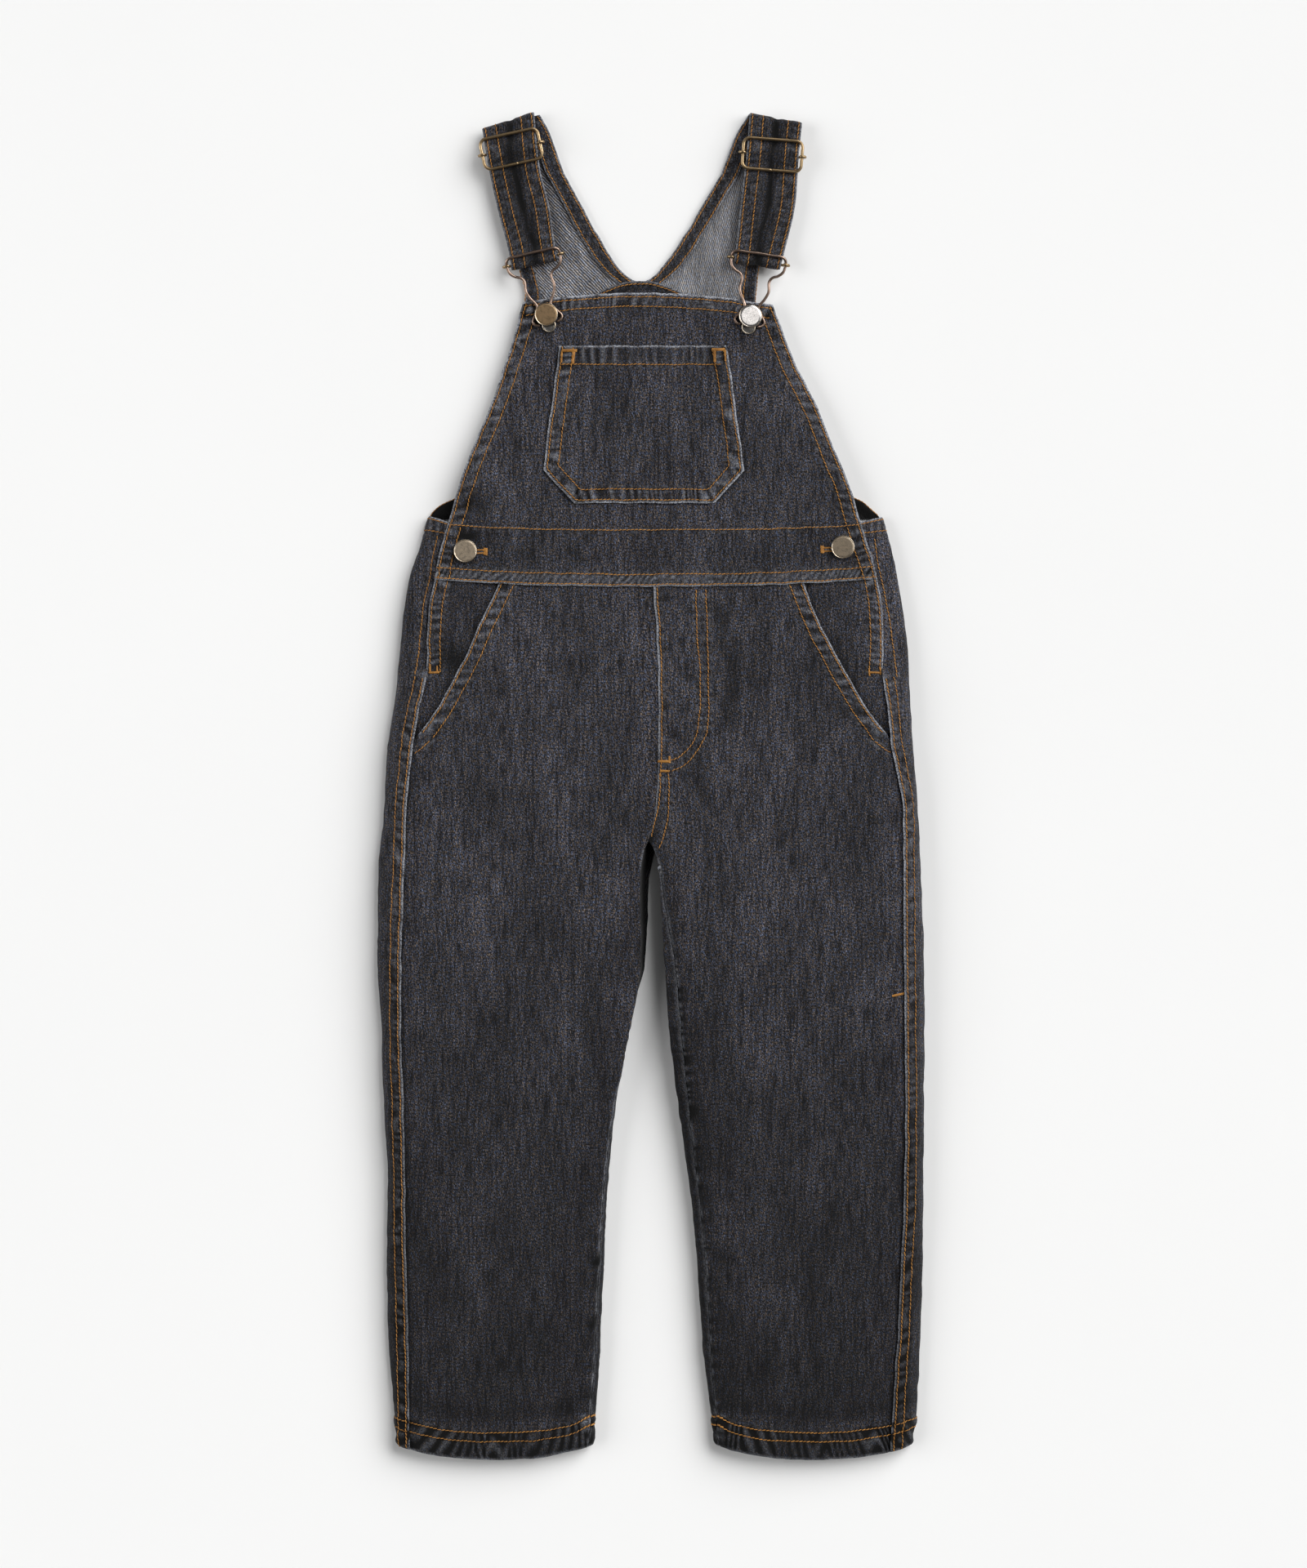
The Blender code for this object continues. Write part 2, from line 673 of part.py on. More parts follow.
def back_cross(collection):
    """Arched piece that covers the lower ends of the neck facings."""
    rows = []
    for j in range(3):
        row = []
        for i in range(9):
            share = mix(-1, 1, i / 8)
            top = CROSS_TOP - CROSS_CURVE * share * share
            y = mix(CROSS_FOOT, top, j / 2)
            row.append((NECK_X - 1 + CROSS_HALF * share, y, WALL + 2 * LAP))
        rows.append(row)
    return cloth("back_cross", rows, (0, 0, 1), collection)


def strap_path(side):
    """Side view of a strap as (distance from the shoulder fold, height of its middle)."""
    slider, bar = SLIDER[side]["along"], HOOK[side]["along"]
    half = STRAP_WALL / 2
    low = 2 * LAP + half  # lies on the facings
    front = low + STRAP_WALL + GAP
    bar_z = SLIDER_Z - CURL_R
    over_bar = bar_z + WIRE_R + GAP + half
    under_wire = SLIDER_Z - WIRE_R - GAP - half
    turn = WIRE_R + 1.3 * GAP + half
    path = [(12, low), (6, low)]
    path += arc(SHOULDER_R + 1.1, low + SHOULDER_R, SHOULDER_R, -90, -270, 5)
    path += [(slider + along, under_wire + rise) for along, rise in ((-11, 0), (-7.4, 0), (-4.5, 0.9))]
    path += [(slider - 2, over_bar), (slider + 2, over_bar)]
    path += [(slider + along, under_wire + rise) for along, rise in ((4.5, 0.9), (7.4, 0), (12, 0))]
    path += [(slider + 19, front), (bar - 22, front), (bar - 9.5, front + 0.1)]
    path += [(bar - 5.5, front + 1.0), (bar - 2.5, low + 2 * turn)]
    path += arc(bar, low + turn, turn, 90, -90, 6)
    path += [(bar - 8, low), (mix(slider, bar, 0.6), low), (mix(slider, bar, 0.3), low)]
    path += [(slider + 5, low), (slider - 1, min(low + GAP, bar_z - WIRE_R - GAP - half))]
    return path


def arc(centre_along, centre_z, radius, start, end, steps):
    """Points of an arc in the side view, in degrees, 0 towards the strap's foot."""
    points = []
    for i in range(steps + 1):
        a = math.radians(mix(start, end, i / steps))
        points.append((centre_along + radius * math.cos(a), centre_z + radius * math.sin(a)))
    return points


def strap(side, collection):
    rows = []
    for along, z in strap_path(side):
        ends = [at(STRAP[side], STRAP_COLUMNS, name, along) for name in STRAP_COLUMNS[1:]]
        outer, inner = Vector((ends[0], ends[1], z)), Vector((ends[2], ends[3], z))
        over = min(0.0, along) + max(0.0, along - STRAP[side][-1][0])
        down = (inner - outer).cross(Vector((0, 0, side))).normalized()
        rows.append([outer.lerp(inner, i / 4) + down * over for i in range(5)])
    name = f"strap_{side_name(side)}"
    return cloth(name, rows, (0, 0, 1), collection, wall=STRAP_WALL, offset=0.0)


def smooth_path(points, per_span):
    """Points along a smooth curve through the given ones."""
    ends = [2 * points[0] - points[1], *points, 2 * points[-1] - points[-2]]
    path = []
    for p0, p1, p2, p3 in zip(ends, ends[1:], ends[2:], ends[3:]):
        for i in range(per_span):
            f = i / per_span
            path.append(
                0.5 * (2 * p1 + (p2 - p0) * f + (2 * p0 - 5 * p1 + 4 * p2 - p3) * f * f
                       + (3 * p1 - p0 - 3 * p2 + p3) * f ** 3)
            )
    return path + [points[-1]]


def wire(name, points, collection, finish, closed=False):
    curve = bpy.data.curves.new(name, "CURVE")
    curve.dimensions = "3D"
    curve.bevel_depth = WIRE_R * MM
    curve.bevel_resolution = 2
    curve.use_fill_caps = True
    spline = curve.splines.new("POLY")
    spline.points.add(len(points) - 1)
    for spot, p in zip(spline.points, points):
        spot.co = (p.x * MM, p.y * MM, p.z * MM, 1.0)
    spline.use_cyclic_u = closed
    spline.use_smooth = True
    return keep(name, curve, collection, finish)


def placed(centre, turn):
    """Matrix from a fitting's own axes to the garment's."""
    return Matrix.Translation((*centre, 0.0)) @ Matrix.Rotation(math.radians(turn), 4, "Z")


def bar_points(half, along_y, bar_z, post_half):
    """A straight bar whose ends curl up round the wires beside it."""
    end = []
    for degrees in (-90, -55, -20, 15, 50, 85, 115):
        a = math.radians(degrees)
        x = post_half + CURL_R * math.cos(a)
        end.append(Vector((x, along_y, bar_z + CURL_R + CURL_R * math.sin(a))))
    straight = [Vector((half * s, along_y, bar_z)) for s in (0.0, 0.45, 0.9)]
    right = straight + end
    return [Vector((-p.x, p.y, p.z)) for p in right[:0:-1]] + right


def slider(side, collection):
    spec = SLIDER[side]
    frame = placed(spec["centre"], spec["turn"])
    half_x, half_y = SLIDER_HALF
    points = []
    for quarter, (sx, sy) in enumerate(((1, 1), (-1, 1), (-1, -1), (1, -1))):
        corner = Vector((sx * (half_x - SLIDER_CORNER), sy * (half_y - SLIDER_CORNER), SLIDER_Z))
        for i in range(5):
            a = math.radians(90 * quarter + 90 * i / 4)
            points.append(frame @ (corner + SLIDER_CORNER * Vector((math.cos(a), math.sin(a), 0))))
    name = side_name(side)
    wire(f"slider_{name}", points, collection, BRASS, closed=True)
    bar = bar_points(half_x - 1.5, 0.0, SLIDER_Z - CURL_R, half_x)
    wire(f"slider_bar_{name}", [frame @ p for p in bar], collection, BRASS)


def hook(side, collection):
    spec = HOOK[side]
    frame = placed(spec["button"], spec["turn"])
    right = [Vector(row) for row in HOOK_HALF]
    left = [Vector((-p.x, p.y, p.z)) for p in right[:0:-1]]
    path = [frame @ p for p in smooth_path(left + right, 2)]
    for p in path:
        if p.y < bib_top(p.x):
            p.z = max(p.z, on_front(p.x, p.y).z + GAP + WIRE_R + 0.1)
    name = side_name(side)
    wire(f"hook_{name}", path, collection, COPPER_WIRE)
    bar = bar_points(15.0, HOOK_BAR_UP, HOOK_BAR_Z, HOOK_HALF[4][0])
    wire(f"hook_bar_{name}", [frame @ p for p in bar], collection, COPPER_WIRE)


def hook_plate(side, collection):
    """Small plate with a round foot, on the bib just below the button."""
    spec = HOOK[side]
    curve = bpy.data.curves.new(f"hook_plate_{side_name(side)}", "CURVE")
    curve.dimensions = "2D"
    curve.fill_mode = "BOTH"
    curve.extrude = PLATE_WALL / 2 * MM
    r = PLATE_HALF_WIDTH
    outline_points = [(r, PLATE_TOP), (-r, PLATE_TOP)]
    for i in range(11):
        a = math.radians(180 + 18 * i)
        outline_points.append((r * math.cos(a), PLATE_FOOT + r + r * math.sin(a)))
    spline = curve.splines.new("POLY")
    spline.points.add(len(outline_points) - 1)
    for spot, (x, y) in zip(spline.points, outline_points):
        spot.co = (x * MM, y * MM, 0.0, 1.0)
    spline.use_cyclic_u = True
    obj = keep(curve.name, curve, collection, COPPER_WIRE)
    centre = placed(spec["button"], spec["turn"]) @ Vector((0, (PLATE_TOP + PLATE_FOOT) / 2, 0))
    level = on_front(centre.x, centre.y).z + 2 * GAP + PLATE_WALL / 2
    obj.location = (spec["button"][0] * MM, spec["button"][1] * MM, level * MM)
    obj.rotation_euler = (0, 0, math.radians(spec["turn"]))
    return obj


def button(name, centre, foot, head_gap, collection):
    """A turned tack button: shank, flat head with a rounded rim."""
    head = foot + head_gap
    profile = (
        (0.0, head + BUTTON_HEIGHT),
        (BUTTON_R * 0.86, head + BUTTON_HEIGHT * 0.9),
        (BUTTON_R, head + BUTTON_HEIGHT * 0.6),
        (BUTTON_R, head + BUTTON_HEIGHT * 0.2),
        (BUTTON_R * 0.93, head),
        (SHANK_R, head),
        (SHANK_R, foot),
        (0.0, foot),
    )
    mesh = bpy.data.meshes.new(name)
    mesh.from_pydata([(r * MM, 0, z * MM) for r, z in profile],
                     [(i, i + 1) for i in range(len(profile) - 1)], [])
    obj = keep(name, mesh, collection, BUTTON_METAL)
    obj.location = (centre[0] * MM, centre[1] * MM, 0)
    turn = obj.modifiers.new("Turn", "SCREW")
    turn.axis = "Z"
    turn.steps = 20
    turn.render_steps = 20
    turn.use_merge_vertices = True
    turn.merge_threshold = 0.00001
    turn.use_smooth_shade = True
    return obj


def buttons(side, collection):
    name = side_name(side)
    centre = HOOK[side]["button"]
    foot = on_front(*centre).z + GAP
    button(f"bib_button_{name}", centre, foot, BIB_BUTTON_GAP, collection)
    centre = SIDE_BUTTON[side]
    foot = on_front(*centre, LAP).z + 2 * GAP
    button(f"side_button_{name}", centre, foot, SIDE_BUTTON_GAP, collection)


def build():
    for obj in list(bpy.data.objects):
        bpy.data.objects.remove(obj)
    garment = bpy.data.collections.new("denim_dungarees")
    bpy.context.scene.collection.children.link(garment)
    for side in (LEFT, RIGHT):
        back_leg(side, garment)
        front_leg(side, garment)
        pocket_facing(side, garment)
        back_strips(side, garment)
        strap(side, garment)
        slider(side, garment)
        hook(side, garment)
        hook_plate(side, garment)
        buttons(side, garment)
    waistband(garment)
    bib(garment)
    bib_pocket(garment)
    back_bib(garment)
    back_cross(garment)


build()
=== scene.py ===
"""Child's denim dungarees, laid flat: the cut, the folds, the sewing and the finish of each piece.

Every cloth piece is a grid of points on its outer face. Beside the points it keeps its pattern:
where each point was on the flat cloth it was cut from. Edges, stitch rows, puckers and the weave
are all laid out on the pattern, so they follow the cloth round its folds.

Lengths are millimetres, and MM turns them into metres where a mesh is made.
"""

import math
from types import SimpleNamespace

import bpy
import numpy as np
from mathutils import Matrix, Vector
from mathutils.bvhtree import BVHTree


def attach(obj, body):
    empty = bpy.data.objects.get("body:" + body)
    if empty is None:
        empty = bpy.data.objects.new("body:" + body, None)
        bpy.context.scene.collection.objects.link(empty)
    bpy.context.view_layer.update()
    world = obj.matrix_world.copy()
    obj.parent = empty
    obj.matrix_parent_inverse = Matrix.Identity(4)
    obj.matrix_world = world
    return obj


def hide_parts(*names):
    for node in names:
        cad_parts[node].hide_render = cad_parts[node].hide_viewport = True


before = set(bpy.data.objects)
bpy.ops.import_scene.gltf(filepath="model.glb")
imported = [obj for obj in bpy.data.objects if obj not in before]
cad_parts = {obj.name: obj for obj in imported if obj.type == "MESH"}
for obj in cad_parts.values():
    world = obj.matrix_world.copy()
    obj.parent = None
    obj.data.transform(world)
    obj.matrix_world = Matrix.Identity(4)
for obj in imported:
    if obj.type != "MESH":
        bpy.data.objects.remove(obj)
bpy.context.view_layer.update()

MM = 0.001
LEFT, RIGHT = -1, 1
QUARTER_TURN = math.pi / 2
LEAST_SHEET = 0.0102  # metres: the narrowest width a sheet may state
RAY_FROM, FRONT_ABOUT = 60.0, 14.0  # well above the garment, and about as high as its front

# Cloth
WALL = 1.2  # height of one layer
GAP = 0.3
LAP = WALL + GAP  # how far a piece lies above the one it laps over
SHELL = 1.0  # thickness of the denim itself
STRAP_WALL = 1.8
SHOULDER_R = 1.5

# Body section
FOLD_SHARE = 0.27  # height of a side fold's outermost point, as a share of the section
FOLD_REACH = 24.0  # from the side fold to where the front is level
FOLD_UNDER = 5.0  # from the side fold to where the underside meets the surface
FRONT_RISE = 1.2
RING_END = 5.9999  # just short of 6, where a body's ring closes
FRONT_END = 2.9999  # just short of 3, where the top of the ring ends
CROTCH_Y = -33.0
HEM_Y = -402.0
HEM_DIP = 8.7  # how far the middle of a hem curves down
HEM_START = -345.0  # where the legs begin to curve down to it
SEAM_CLEAR = 0.15
WAVER = 0.35  # how far the hand-led cutting and sewing wanders

# Front edges
UNDER_LAP = 5.0
SIDE_OPENING_FOOT = 68.0
OPENING_STEP = 6.0
POCKET_FOOT = 27.0
FACING_FOOT = 30.0
FACING_REACH = 16.0
BACK_UNDER = 8.0  # how far the back reaches in under the front at the side opening
LAP_COLUMNS = 19  # columns of the back from the side seam to the fold
HEM_ROWS = (11.0, 16.5)
WAISTBAND_FOOT, FOOT_CURVE = 121.5, 4.5
WAISTBAND_TOP, TOP_CURVE = 157.0, 3.0
WAISTBAND_HALF = 130.0
BIB_TOP, BIB_CURVE = 301.5, 3.4
BIB_MIDDLE, BIB_HALF = -5.0, 72.0
BIB_UNDER = 8.0

# Hardware
WIRE_R = 0.875
HOOK_WIRE_R = 0.78
WIRE_SWELL = 1.1  # how much fuller the drawn wires are than the plain ones
CURL_R = 2 * WIRE_R + GAP
BUTTON_R, BUTTON_HEIGHT = 7.1, 2.1
SHANK_R = 2.2
BIB_BUTTON_GAP, SIDE_BUTTON_GAP = 2.6, 0.7


class Table:
    """Measures by height along the garment, read on smooth curves between the rows."""

    def __init__(self, columns, *rows):
        self.names = columns.split()
        self.rows = np.array(sorted(rows), float)

    def __call__(self, name, y):
        ys, values = self.rows[:, 0], self.rows[:, self.names.index(name)]
        y = np.clip(y, ys[0], ys[-1])
        step, rise = np.diff(ys), np.diff(values)
        slope = rise / step
        same_way = slope[:-1] * slope[1:] > 0
        total = np.where(same_way, slope[:-1] + slope[1:], 1.0)
        inner = np.where(same_way, 2 * slope[:-1] * slope[1:] / total, 0.0)
        slopes = np.concatenate(([slope[0]], inner, [slope[-1]]))
        i = np.clip(np.searchsorted(ys, y, "right") - 1, 0, len(ys) - 2)
        f = (y - ys[i]) / step[i]
        return (
            values[i] * (1 + 2 * f) * (1 - f) ** 2
            + values[i + 1] * f * f * (3 - 2 * f)
            + step[i] * (slopes[i] * f * (1 - f) ** 2 - slopes[i + 1] * f * f * (1 - f))
        )

    def straight(self, name, y):
        """The same measure on straight lines between the rows."""
        return np.interp(y, self.rows[:, 0], self.rows[:, self.names.index(name)])


# fold: the folded side edge. edge: the side seam, and above the foot of the side opening the
# front's own side edge.
OUTLINE = Table(
    "y fold_left edge_left edge_right fold_right",
    (300, -93.5, -76.5, 72.0, 88.5),
    (261, -105.0, -88.0, 86.8, 104.0),
    (231, -115.5, -98.5, 101.5, 118.5),
    (201, -128.0, -111.0, 113.8, 131.0),
    (181, -134.0, -118.0, 122.0, 138.5),
    (163, -135.8, -123.0, 127.0, 141.2),
    (150, -140.0, -126.8, 131.0, 145.5),
    (138, -144.3, -129.6, 135.0, 148.5),
    (125, -148.3, -132.0, 138.3, 151.0),
    (110, -150.5, -135.0, 140.8, 153.3),
    (90, -152.8, -136.5, 141.3, 156.3),
    (72, -154.5, -136.5, 141.2, 157.5),
    (50, -157.0, -141.0, 144.3, 158.6),
    (28, -160.5, -145.0, 146.3, 159.8),
    (8, -162.0, -147.3, 150.0, 161.5),
    (-18, -163.2, -149.4, 154.0, 163.3),
    (-50, -166.5, -150.5, 154.0, 164.7),
    (-105, -167.0, -152.5, 154.5, 166.7),
    (-145, -165.0, -152.8, 154.8, 167.0),
    (-195, -163.2, -151.3, 155.3, 166.8),
    (-235, -161.0, -150.5, 155.0, 166.5),
    (-300, -161.4, -149.5, 152.5, 166.0),
    (-340, -160.3, -148.5, 150.5, 164.6),
    (-375, -157.6, -148.0, 148.0, 162.8),
    (-403, -155.5, -147.5, 146.5, 160.0),
)
# Centre front seam, above the crotch.
CENTRE = Table(
    "y x",
    (300, -2.0),
    (163, 0.5),
    (121, 1.5),
    (93, 3.3),
    (44, 4.4),
    (14, 4.5),
    (-10, 3.0),
    (-33, -1.5),
)
# Inner edges of the legs. inseam: how far the seam lies in from that edge on top of the leg, or
# under it where it is negative.
INNER = Table(
    "y left inseam_left right inseam_right",
    (-33, -1.5, 0.0, -1.5, 0.0),
    (-41, -4.6, 0.0, 2.6, 0.0),
    (-52, -6.2, -0.5, 5.0, 0.5),
    (-75, -6.3, -2.0, 6.2, 2.5),
    (-105, -6.3, -2.0, 8.0, 6.0),
    (-145, -12.0, -2.0, 10.5, 7.5),
    (-195, -21.5, 0.6, 16.5, 6.2),
    (-235, -25.7, 1.6, 22.0, 5.2),
    (-270, -27.8, 2.2, 26.3, 4.8),
    (-300, -29.0, 2.6, 28.5, 5.0),
    (-340, -31.0, 2.6, 31.3, 4.6),
    (-375, -33.0, 2.8, 35.5, 3.0),
    (-403, -35.5, 3.0, 39.5, 2.2),
)
# Thickness of the laid-out garment. The inner measures are those of the leg's inner edge, or of
# the centre seam: its share of the height, and how far its curve reaches in on top and beneath.
DEPTH = Table(
    "y height inner_share inner_reach inner_under",
    (300, 6.4, 1.0, 40.0, 0.0),
    (240, 8.2, 1.0, 40.0, 0.0),
    (200, 9.8, 1.0, 40.0, 0.0),
    (163, 11.5, 1.0, 40.0, 0.0),
    (125, 14.0, 1.0, 40.0, 0.0),
    (70, 15.3, 1.0, 40.0, 0.0),
    (28, 15.5, 0.93, 36.0, 0.0),
    (0, 15.5, 0.84, 30.0, 0.0),
    (-33, 15.4, 0.90, 24.0, 1.5),
    (-52, 15.8, 1.03, 18.0, 3.0),
    (-80, 15.9, 1.03, 15.0, 4.5),
    (-145, 15.4, 0.90, 14.0, 5.0),
    (-235, 13.6, 0.50, 14.0, 5.0),
    (-340, 11.8, 0.42, 13.0, 4.5),
    (-403, 10.6, 0.42, 12.0, 4.0),
)
# The left leg's own measure: near the crotch its inner wall leans out over the surface.
LEFT_UNDER = Table(
    "y under",
    (-27, 0.0),
    (-33, -0.6),
    (-41, -6.8),
    (-48, -6.6),
    (-58, -5.2),
    (-80, -4.4),
    (-105, -3.0),
    (-130, 0.5),
    (-150, 5.0),
    (-340, 4.5),
    (-403, 4.0),
)
POCKET_EDGE = Table(
    "y left right",
    (131, -88.5, 90.0),
    (121, -93.3, 94.0),
    (103, -102.5, 100.8),
    (84, -110.5, 110.5),
    (66, -119.8, 120.3),
    (50, -128.3, 129.5),
    (34, -139.5, 141.5),
    (27, -145.0, 146.4),
)
NECK_X, NECK_POINT = -6.0, 308.6
BACK = Table(
    "y armhole_left neck_left neck_right armhole_right",
    (163.3, -135.5, NECK_X, NECK_X, 141.0),
    (166, -134.8, NECK_X, NECK_X, 138.5),
    (169.5, -132.0, NECK_X, NECK_X, 134.5),
    (173.3, -125.8, NECK_X, NECK_X, 129.8),
    (177.0, -118.0, NECK_X, NECK_X, 122.5),
    (188, -109.5, NECK_X, NECK_X, 113.5),
    (205, -101.0, NECK_X, NECK_X, 102.5),
    (231, -90.0, NECK_X, NECK_X, 88.5),
    (261, -80.5, NECK_X, NECK_X, 72.0),
    (285, -77.0, NECK_X, NECK_X, 65.0),
    (300, -76.8, NECK_X, NECK_X, 64.0),
    (NECK_POINT, -78.3, NECK_X, NECK_X, 64.8),
    (310, -78.7, -11.5, -1.0, 65.0),
    (319, -81.0, -21.3, 8.0, 66.5),
    (330, -84.0, -28.5, 16.0, 71.0),
    (345, -88.5, -37.2, 25.5, 77.0),
    (360, -92.8, -44.9, 34.2, 82.5),
    (375, -96.5, -53.0, 43.0, 85.5),
    (388, -99.3, -58.1, 48.3, 88.0),
    (400, -101.0, -62.7, 53.4, 89.8),
    (411, -101.0, -68.0, 60.0, 90.0),
)
BACK_FOOT, BACK_TOP = 163.3, 411.0
SHOULDER_START = 375.0
SHOULDER = {LEFT: ((-103.0, 400.6), (-68.0, 411.0)), RIGHT: ((92.0, 404.6), (60.0, 411.4))}
FACING_WIDTH = 11.0
HEM_WIDTH = 9.0
ARMHOLE_HEM = (186.0, 398.0)
CROSS_HALF, CROSS_FOOT, CROSS_TOP, CROSS_CURVE = 26.0, 288.0, 309.0, 7.5
STRAP_COLUMNS = "along outer_x outer_y inner_x inner_y"
STRAP = {
    LEFT: Table(
        STRAP_COLUMNS,
        (0, -103.2, 401.9, -71.5, 412.3),
        (30.5, -98.5, 374.3, -68.3, 380.0),
        (56.7, -93.0, 349.8, -62.0, 353.0),
        (81.8, -86.5, 324.3, -58.5, 329.3),
        (91.9, -85.0, 313.6, -56.5, 320.3),
    ),
    RIGHT: Table(
        STRAP_COLUMNS,
        (0, 92.3, 405.5, 60.3, 411.8),
        (23.6, 90.2, 384.0, 58.3, 386.5),
        (50.5, 88.3, 357.0, 55.2, 360.0),
        (81.1, 81.5, 326.5, 51.9, 329.8),
        (92.6, 78.5, 314.8, 50.5, 318.8),
    ),
}
POCKET = Table(
    "y left right",
    (172.5, -47.0, 39.0),
    (192.5, -65.8, 56.8),
    (256.0, -57.6, 48.3),
    (268.8, -56.0, 45.6),
)
SLIDER = {
    LEFT: {"centre": (-85.3, 388.9), "turn": 12.5, "along": 18.5},
    RIGHT: {"centre": (74.1, 385.4), "turn": -4.5, "along": 23.4},
}
SLIDER_HALF = (18.0, 9.4)
SLIDER_CORNER = 4.0
SLIDER_Z = 8.45
HOOK = {
    LEFT: {"button": (-63.8, 287.6), "turn": 13.4, "along": 87.7},
    RIGHT: {"button": (60.5, 286.5), "turn": -8.5, "along": 89.0},
}
HOOK_BAR_UP = 34.3
HOOK_BAR_Z = 6.0
HOOK_TOP_Z, HOOK_SIDE_Z, HOOK_FOOT_Z = 9.8, HOOK_BAR_Z + CURL_R, 8.6
HOOK_HALF = (
    (0.0, 38.9, HOOK_TOP_Z),
    (7.0, 38.7, HOOK_TOP_Z),
    (13.2, 38.7, HOOK_TOP_Z),
    (16.0, 37.3, 9.2),
    (16.7, HOOK_BAR_UP, HOOK_SIDE_Z),
    (15.9, 29.8, HOOK_SIDE_Z),
    (13.2, 27.0, HOOK_SIDE_Z),
    (10.0, 25.4, HOOK_SIDE_Z),
    (8.3, 22.3, HOOK_SIDE_Z),
    (8.9, 16.7, HOOK_FOOT_Z),
    (7.2, 11.8, HOOK_FOOT_Z),
    (5.0, 8.2, HOOK_FOOT_Z),
    (4.3, 5.0, HOOK_FOOT_Z),
    (7.0, 1.0, HOOK_FOOT_Z),
    (9.0, -2.3, HOOK_FOOT_Z),
    (7.9, -4.7, HOOK_FOOT_Z),
    (5.6, -5.6, HOOK_FOOT_Z),
)
PLATE_HALF_WIDTH, PLATE_TOP, PLATE_FOOT = 4.1, -3.4, -10.9
SIDE_BUTTON = {LEFT: (-112.9, 143.1), RIGHT: (116.8, 145.5)}

# Soft creases that the laid-out cloth keeps: x and y of one end, then of the other, half width
# and height.
CREASES = (
    (38, 112, 41, 35, 6.0, 0.7),
    (47, 108, 52, 40, 9.0, -0.6),
    (22, 20, 40, -60, 9.0, -0.8),
    (34, -70, 44, -250, 12.0, -0.7),
    (60, -60, 66, -300, 16.0, 0.6),
    (139, -20, 172, -26, 5.0, -0.7),
    (-100, 60, -78, -40, 16.0, -0.6),
    (-62, 90, -54, -80, 14.0, 0.6),
    (-40, -20, -34, -180, 10.0, -0.6),
    (14, 6, 30, -22, 2.6, 0.7),
    (19, 10, 37, -18, 3.0, -0.7),
    (22, -4, 52, -42, 5.0, 0.6),
    (-6, 2, -20, -22, 3.5, -0.4),
    (-118, -60, -112, -330, 14.0, 0.5),
    (-34, -292, -22, -290, 4.0, -1.0),
    (-36, -330, -24, -328, 4.0, -1.0),
    (36, -286, 48, -290, 4.0, -1.0),
    (-128, 178, -104, 172, 7.0, -0.8),
    (-70, 160, -60, 168, 8.0, -0.5),
    (10, 128, 30, 134, 9.0, 0.4),
    (-88, 130, -84, 150, 5.0, 0.4),
    (-20, 290, 30, 286, 7.0, -0.5),
)


def side_name(side):
    return "left" if side == LEFT else "right"


def ease(value):
    """0 to 1 with level ends."""
    f = np.clip(value, 0.0, 1.0)
    return f * f * (3 - 2 * f)


def mix(a, b, f):
    return a + (b - a) * f


def bump_at(distance, width):
    """1 at no distance, falling smoothly to nothing over about twice the width."""
    return np.exp(-((distance / width) ** 2))


def spaced(count, closer=0.6):
    """Places from 0 to 1 that lie closer together towards both ends."""
    t = np.linspace(0, 1, count)
    return t - closer * np.sin(2 * math.pi * t) / (2 * math.pi)


def unevenness(x, y, size, seed):
    """Smooth random heights from -1 to 1, about one size across."""
    u, v = x / size, y / size
    i, j = np.floor(u), np.floor(v)
    fu, fv = ease(u - i), ease(v - j)

    def corner(a, b):
        h = np.sin((i + a) * 127.1 + (j + b) * 311.7 + seed * 74.7) * 43758.5453
        return 2 * (h - np.floor(h)) - 1

    foot = mix(corner(0, 0), corner(1, 0), fu)
    return mix(foot, mix(corner(0, 1), corner(1, 1), fu), fv)


def ragged(along, size, seed):
    """The same unevenness along a line."""
    return unevenness(along, 0 * along, size, seed)


def nearest_on(path, places):
    """Distance of each place from a line, and how far along the line it is nearest."""
    path = np.asarray(path, float)
    a, step = path[:-1], np.diff(path, axis=0)
    length = np.linalg.norm(step, axis=1)
    start = lengths(path)[:-1]
    flat = places.reshape(-1, 1, 2)
    t = np.clip(((flat - a) * step).sum(-1) / np.maximum(length**2, 1e-9), 0, 1)
    away = np.linalg.norm(flat - (a + t[..., None] * step), axis=-1)
    k = away.argmin(axis=1)[:, None]
    distance = np.take_along_axis(away, k, 1)[:, 0]
    along = np.take_along_axis(start + t * length, k, 1)[:, 0]
    return distance.reshape(places.shape[:-1]), along.reshape(places.shape[:-1])


def lie(x, y):
    """Height of the soft creases and gentle waves in the front, seen from above."""
    places = np.stack(np.broadcast_arrays(x, y), -1).astype(float)
    rise = 0.28 * unevenness(x, y * 0.6, 26.0, 1) + 0.16 * unevenness(x, y * 0.45, 9.0, 2)
    for x0, y0, x1, y1, width, height in CREASES:
        away, _ = nearest_on(((x0, y0), (x1, y1)), places)
        rise = rise + height * bump_at(away, width)
    return rise


def inner_edge(side, y):
    upper, lower = CENTRE("x", y), INNER(side_name(side), y)
    return np.where(y >= CROTCH_Y, upper, lower) + side * GAP / 2


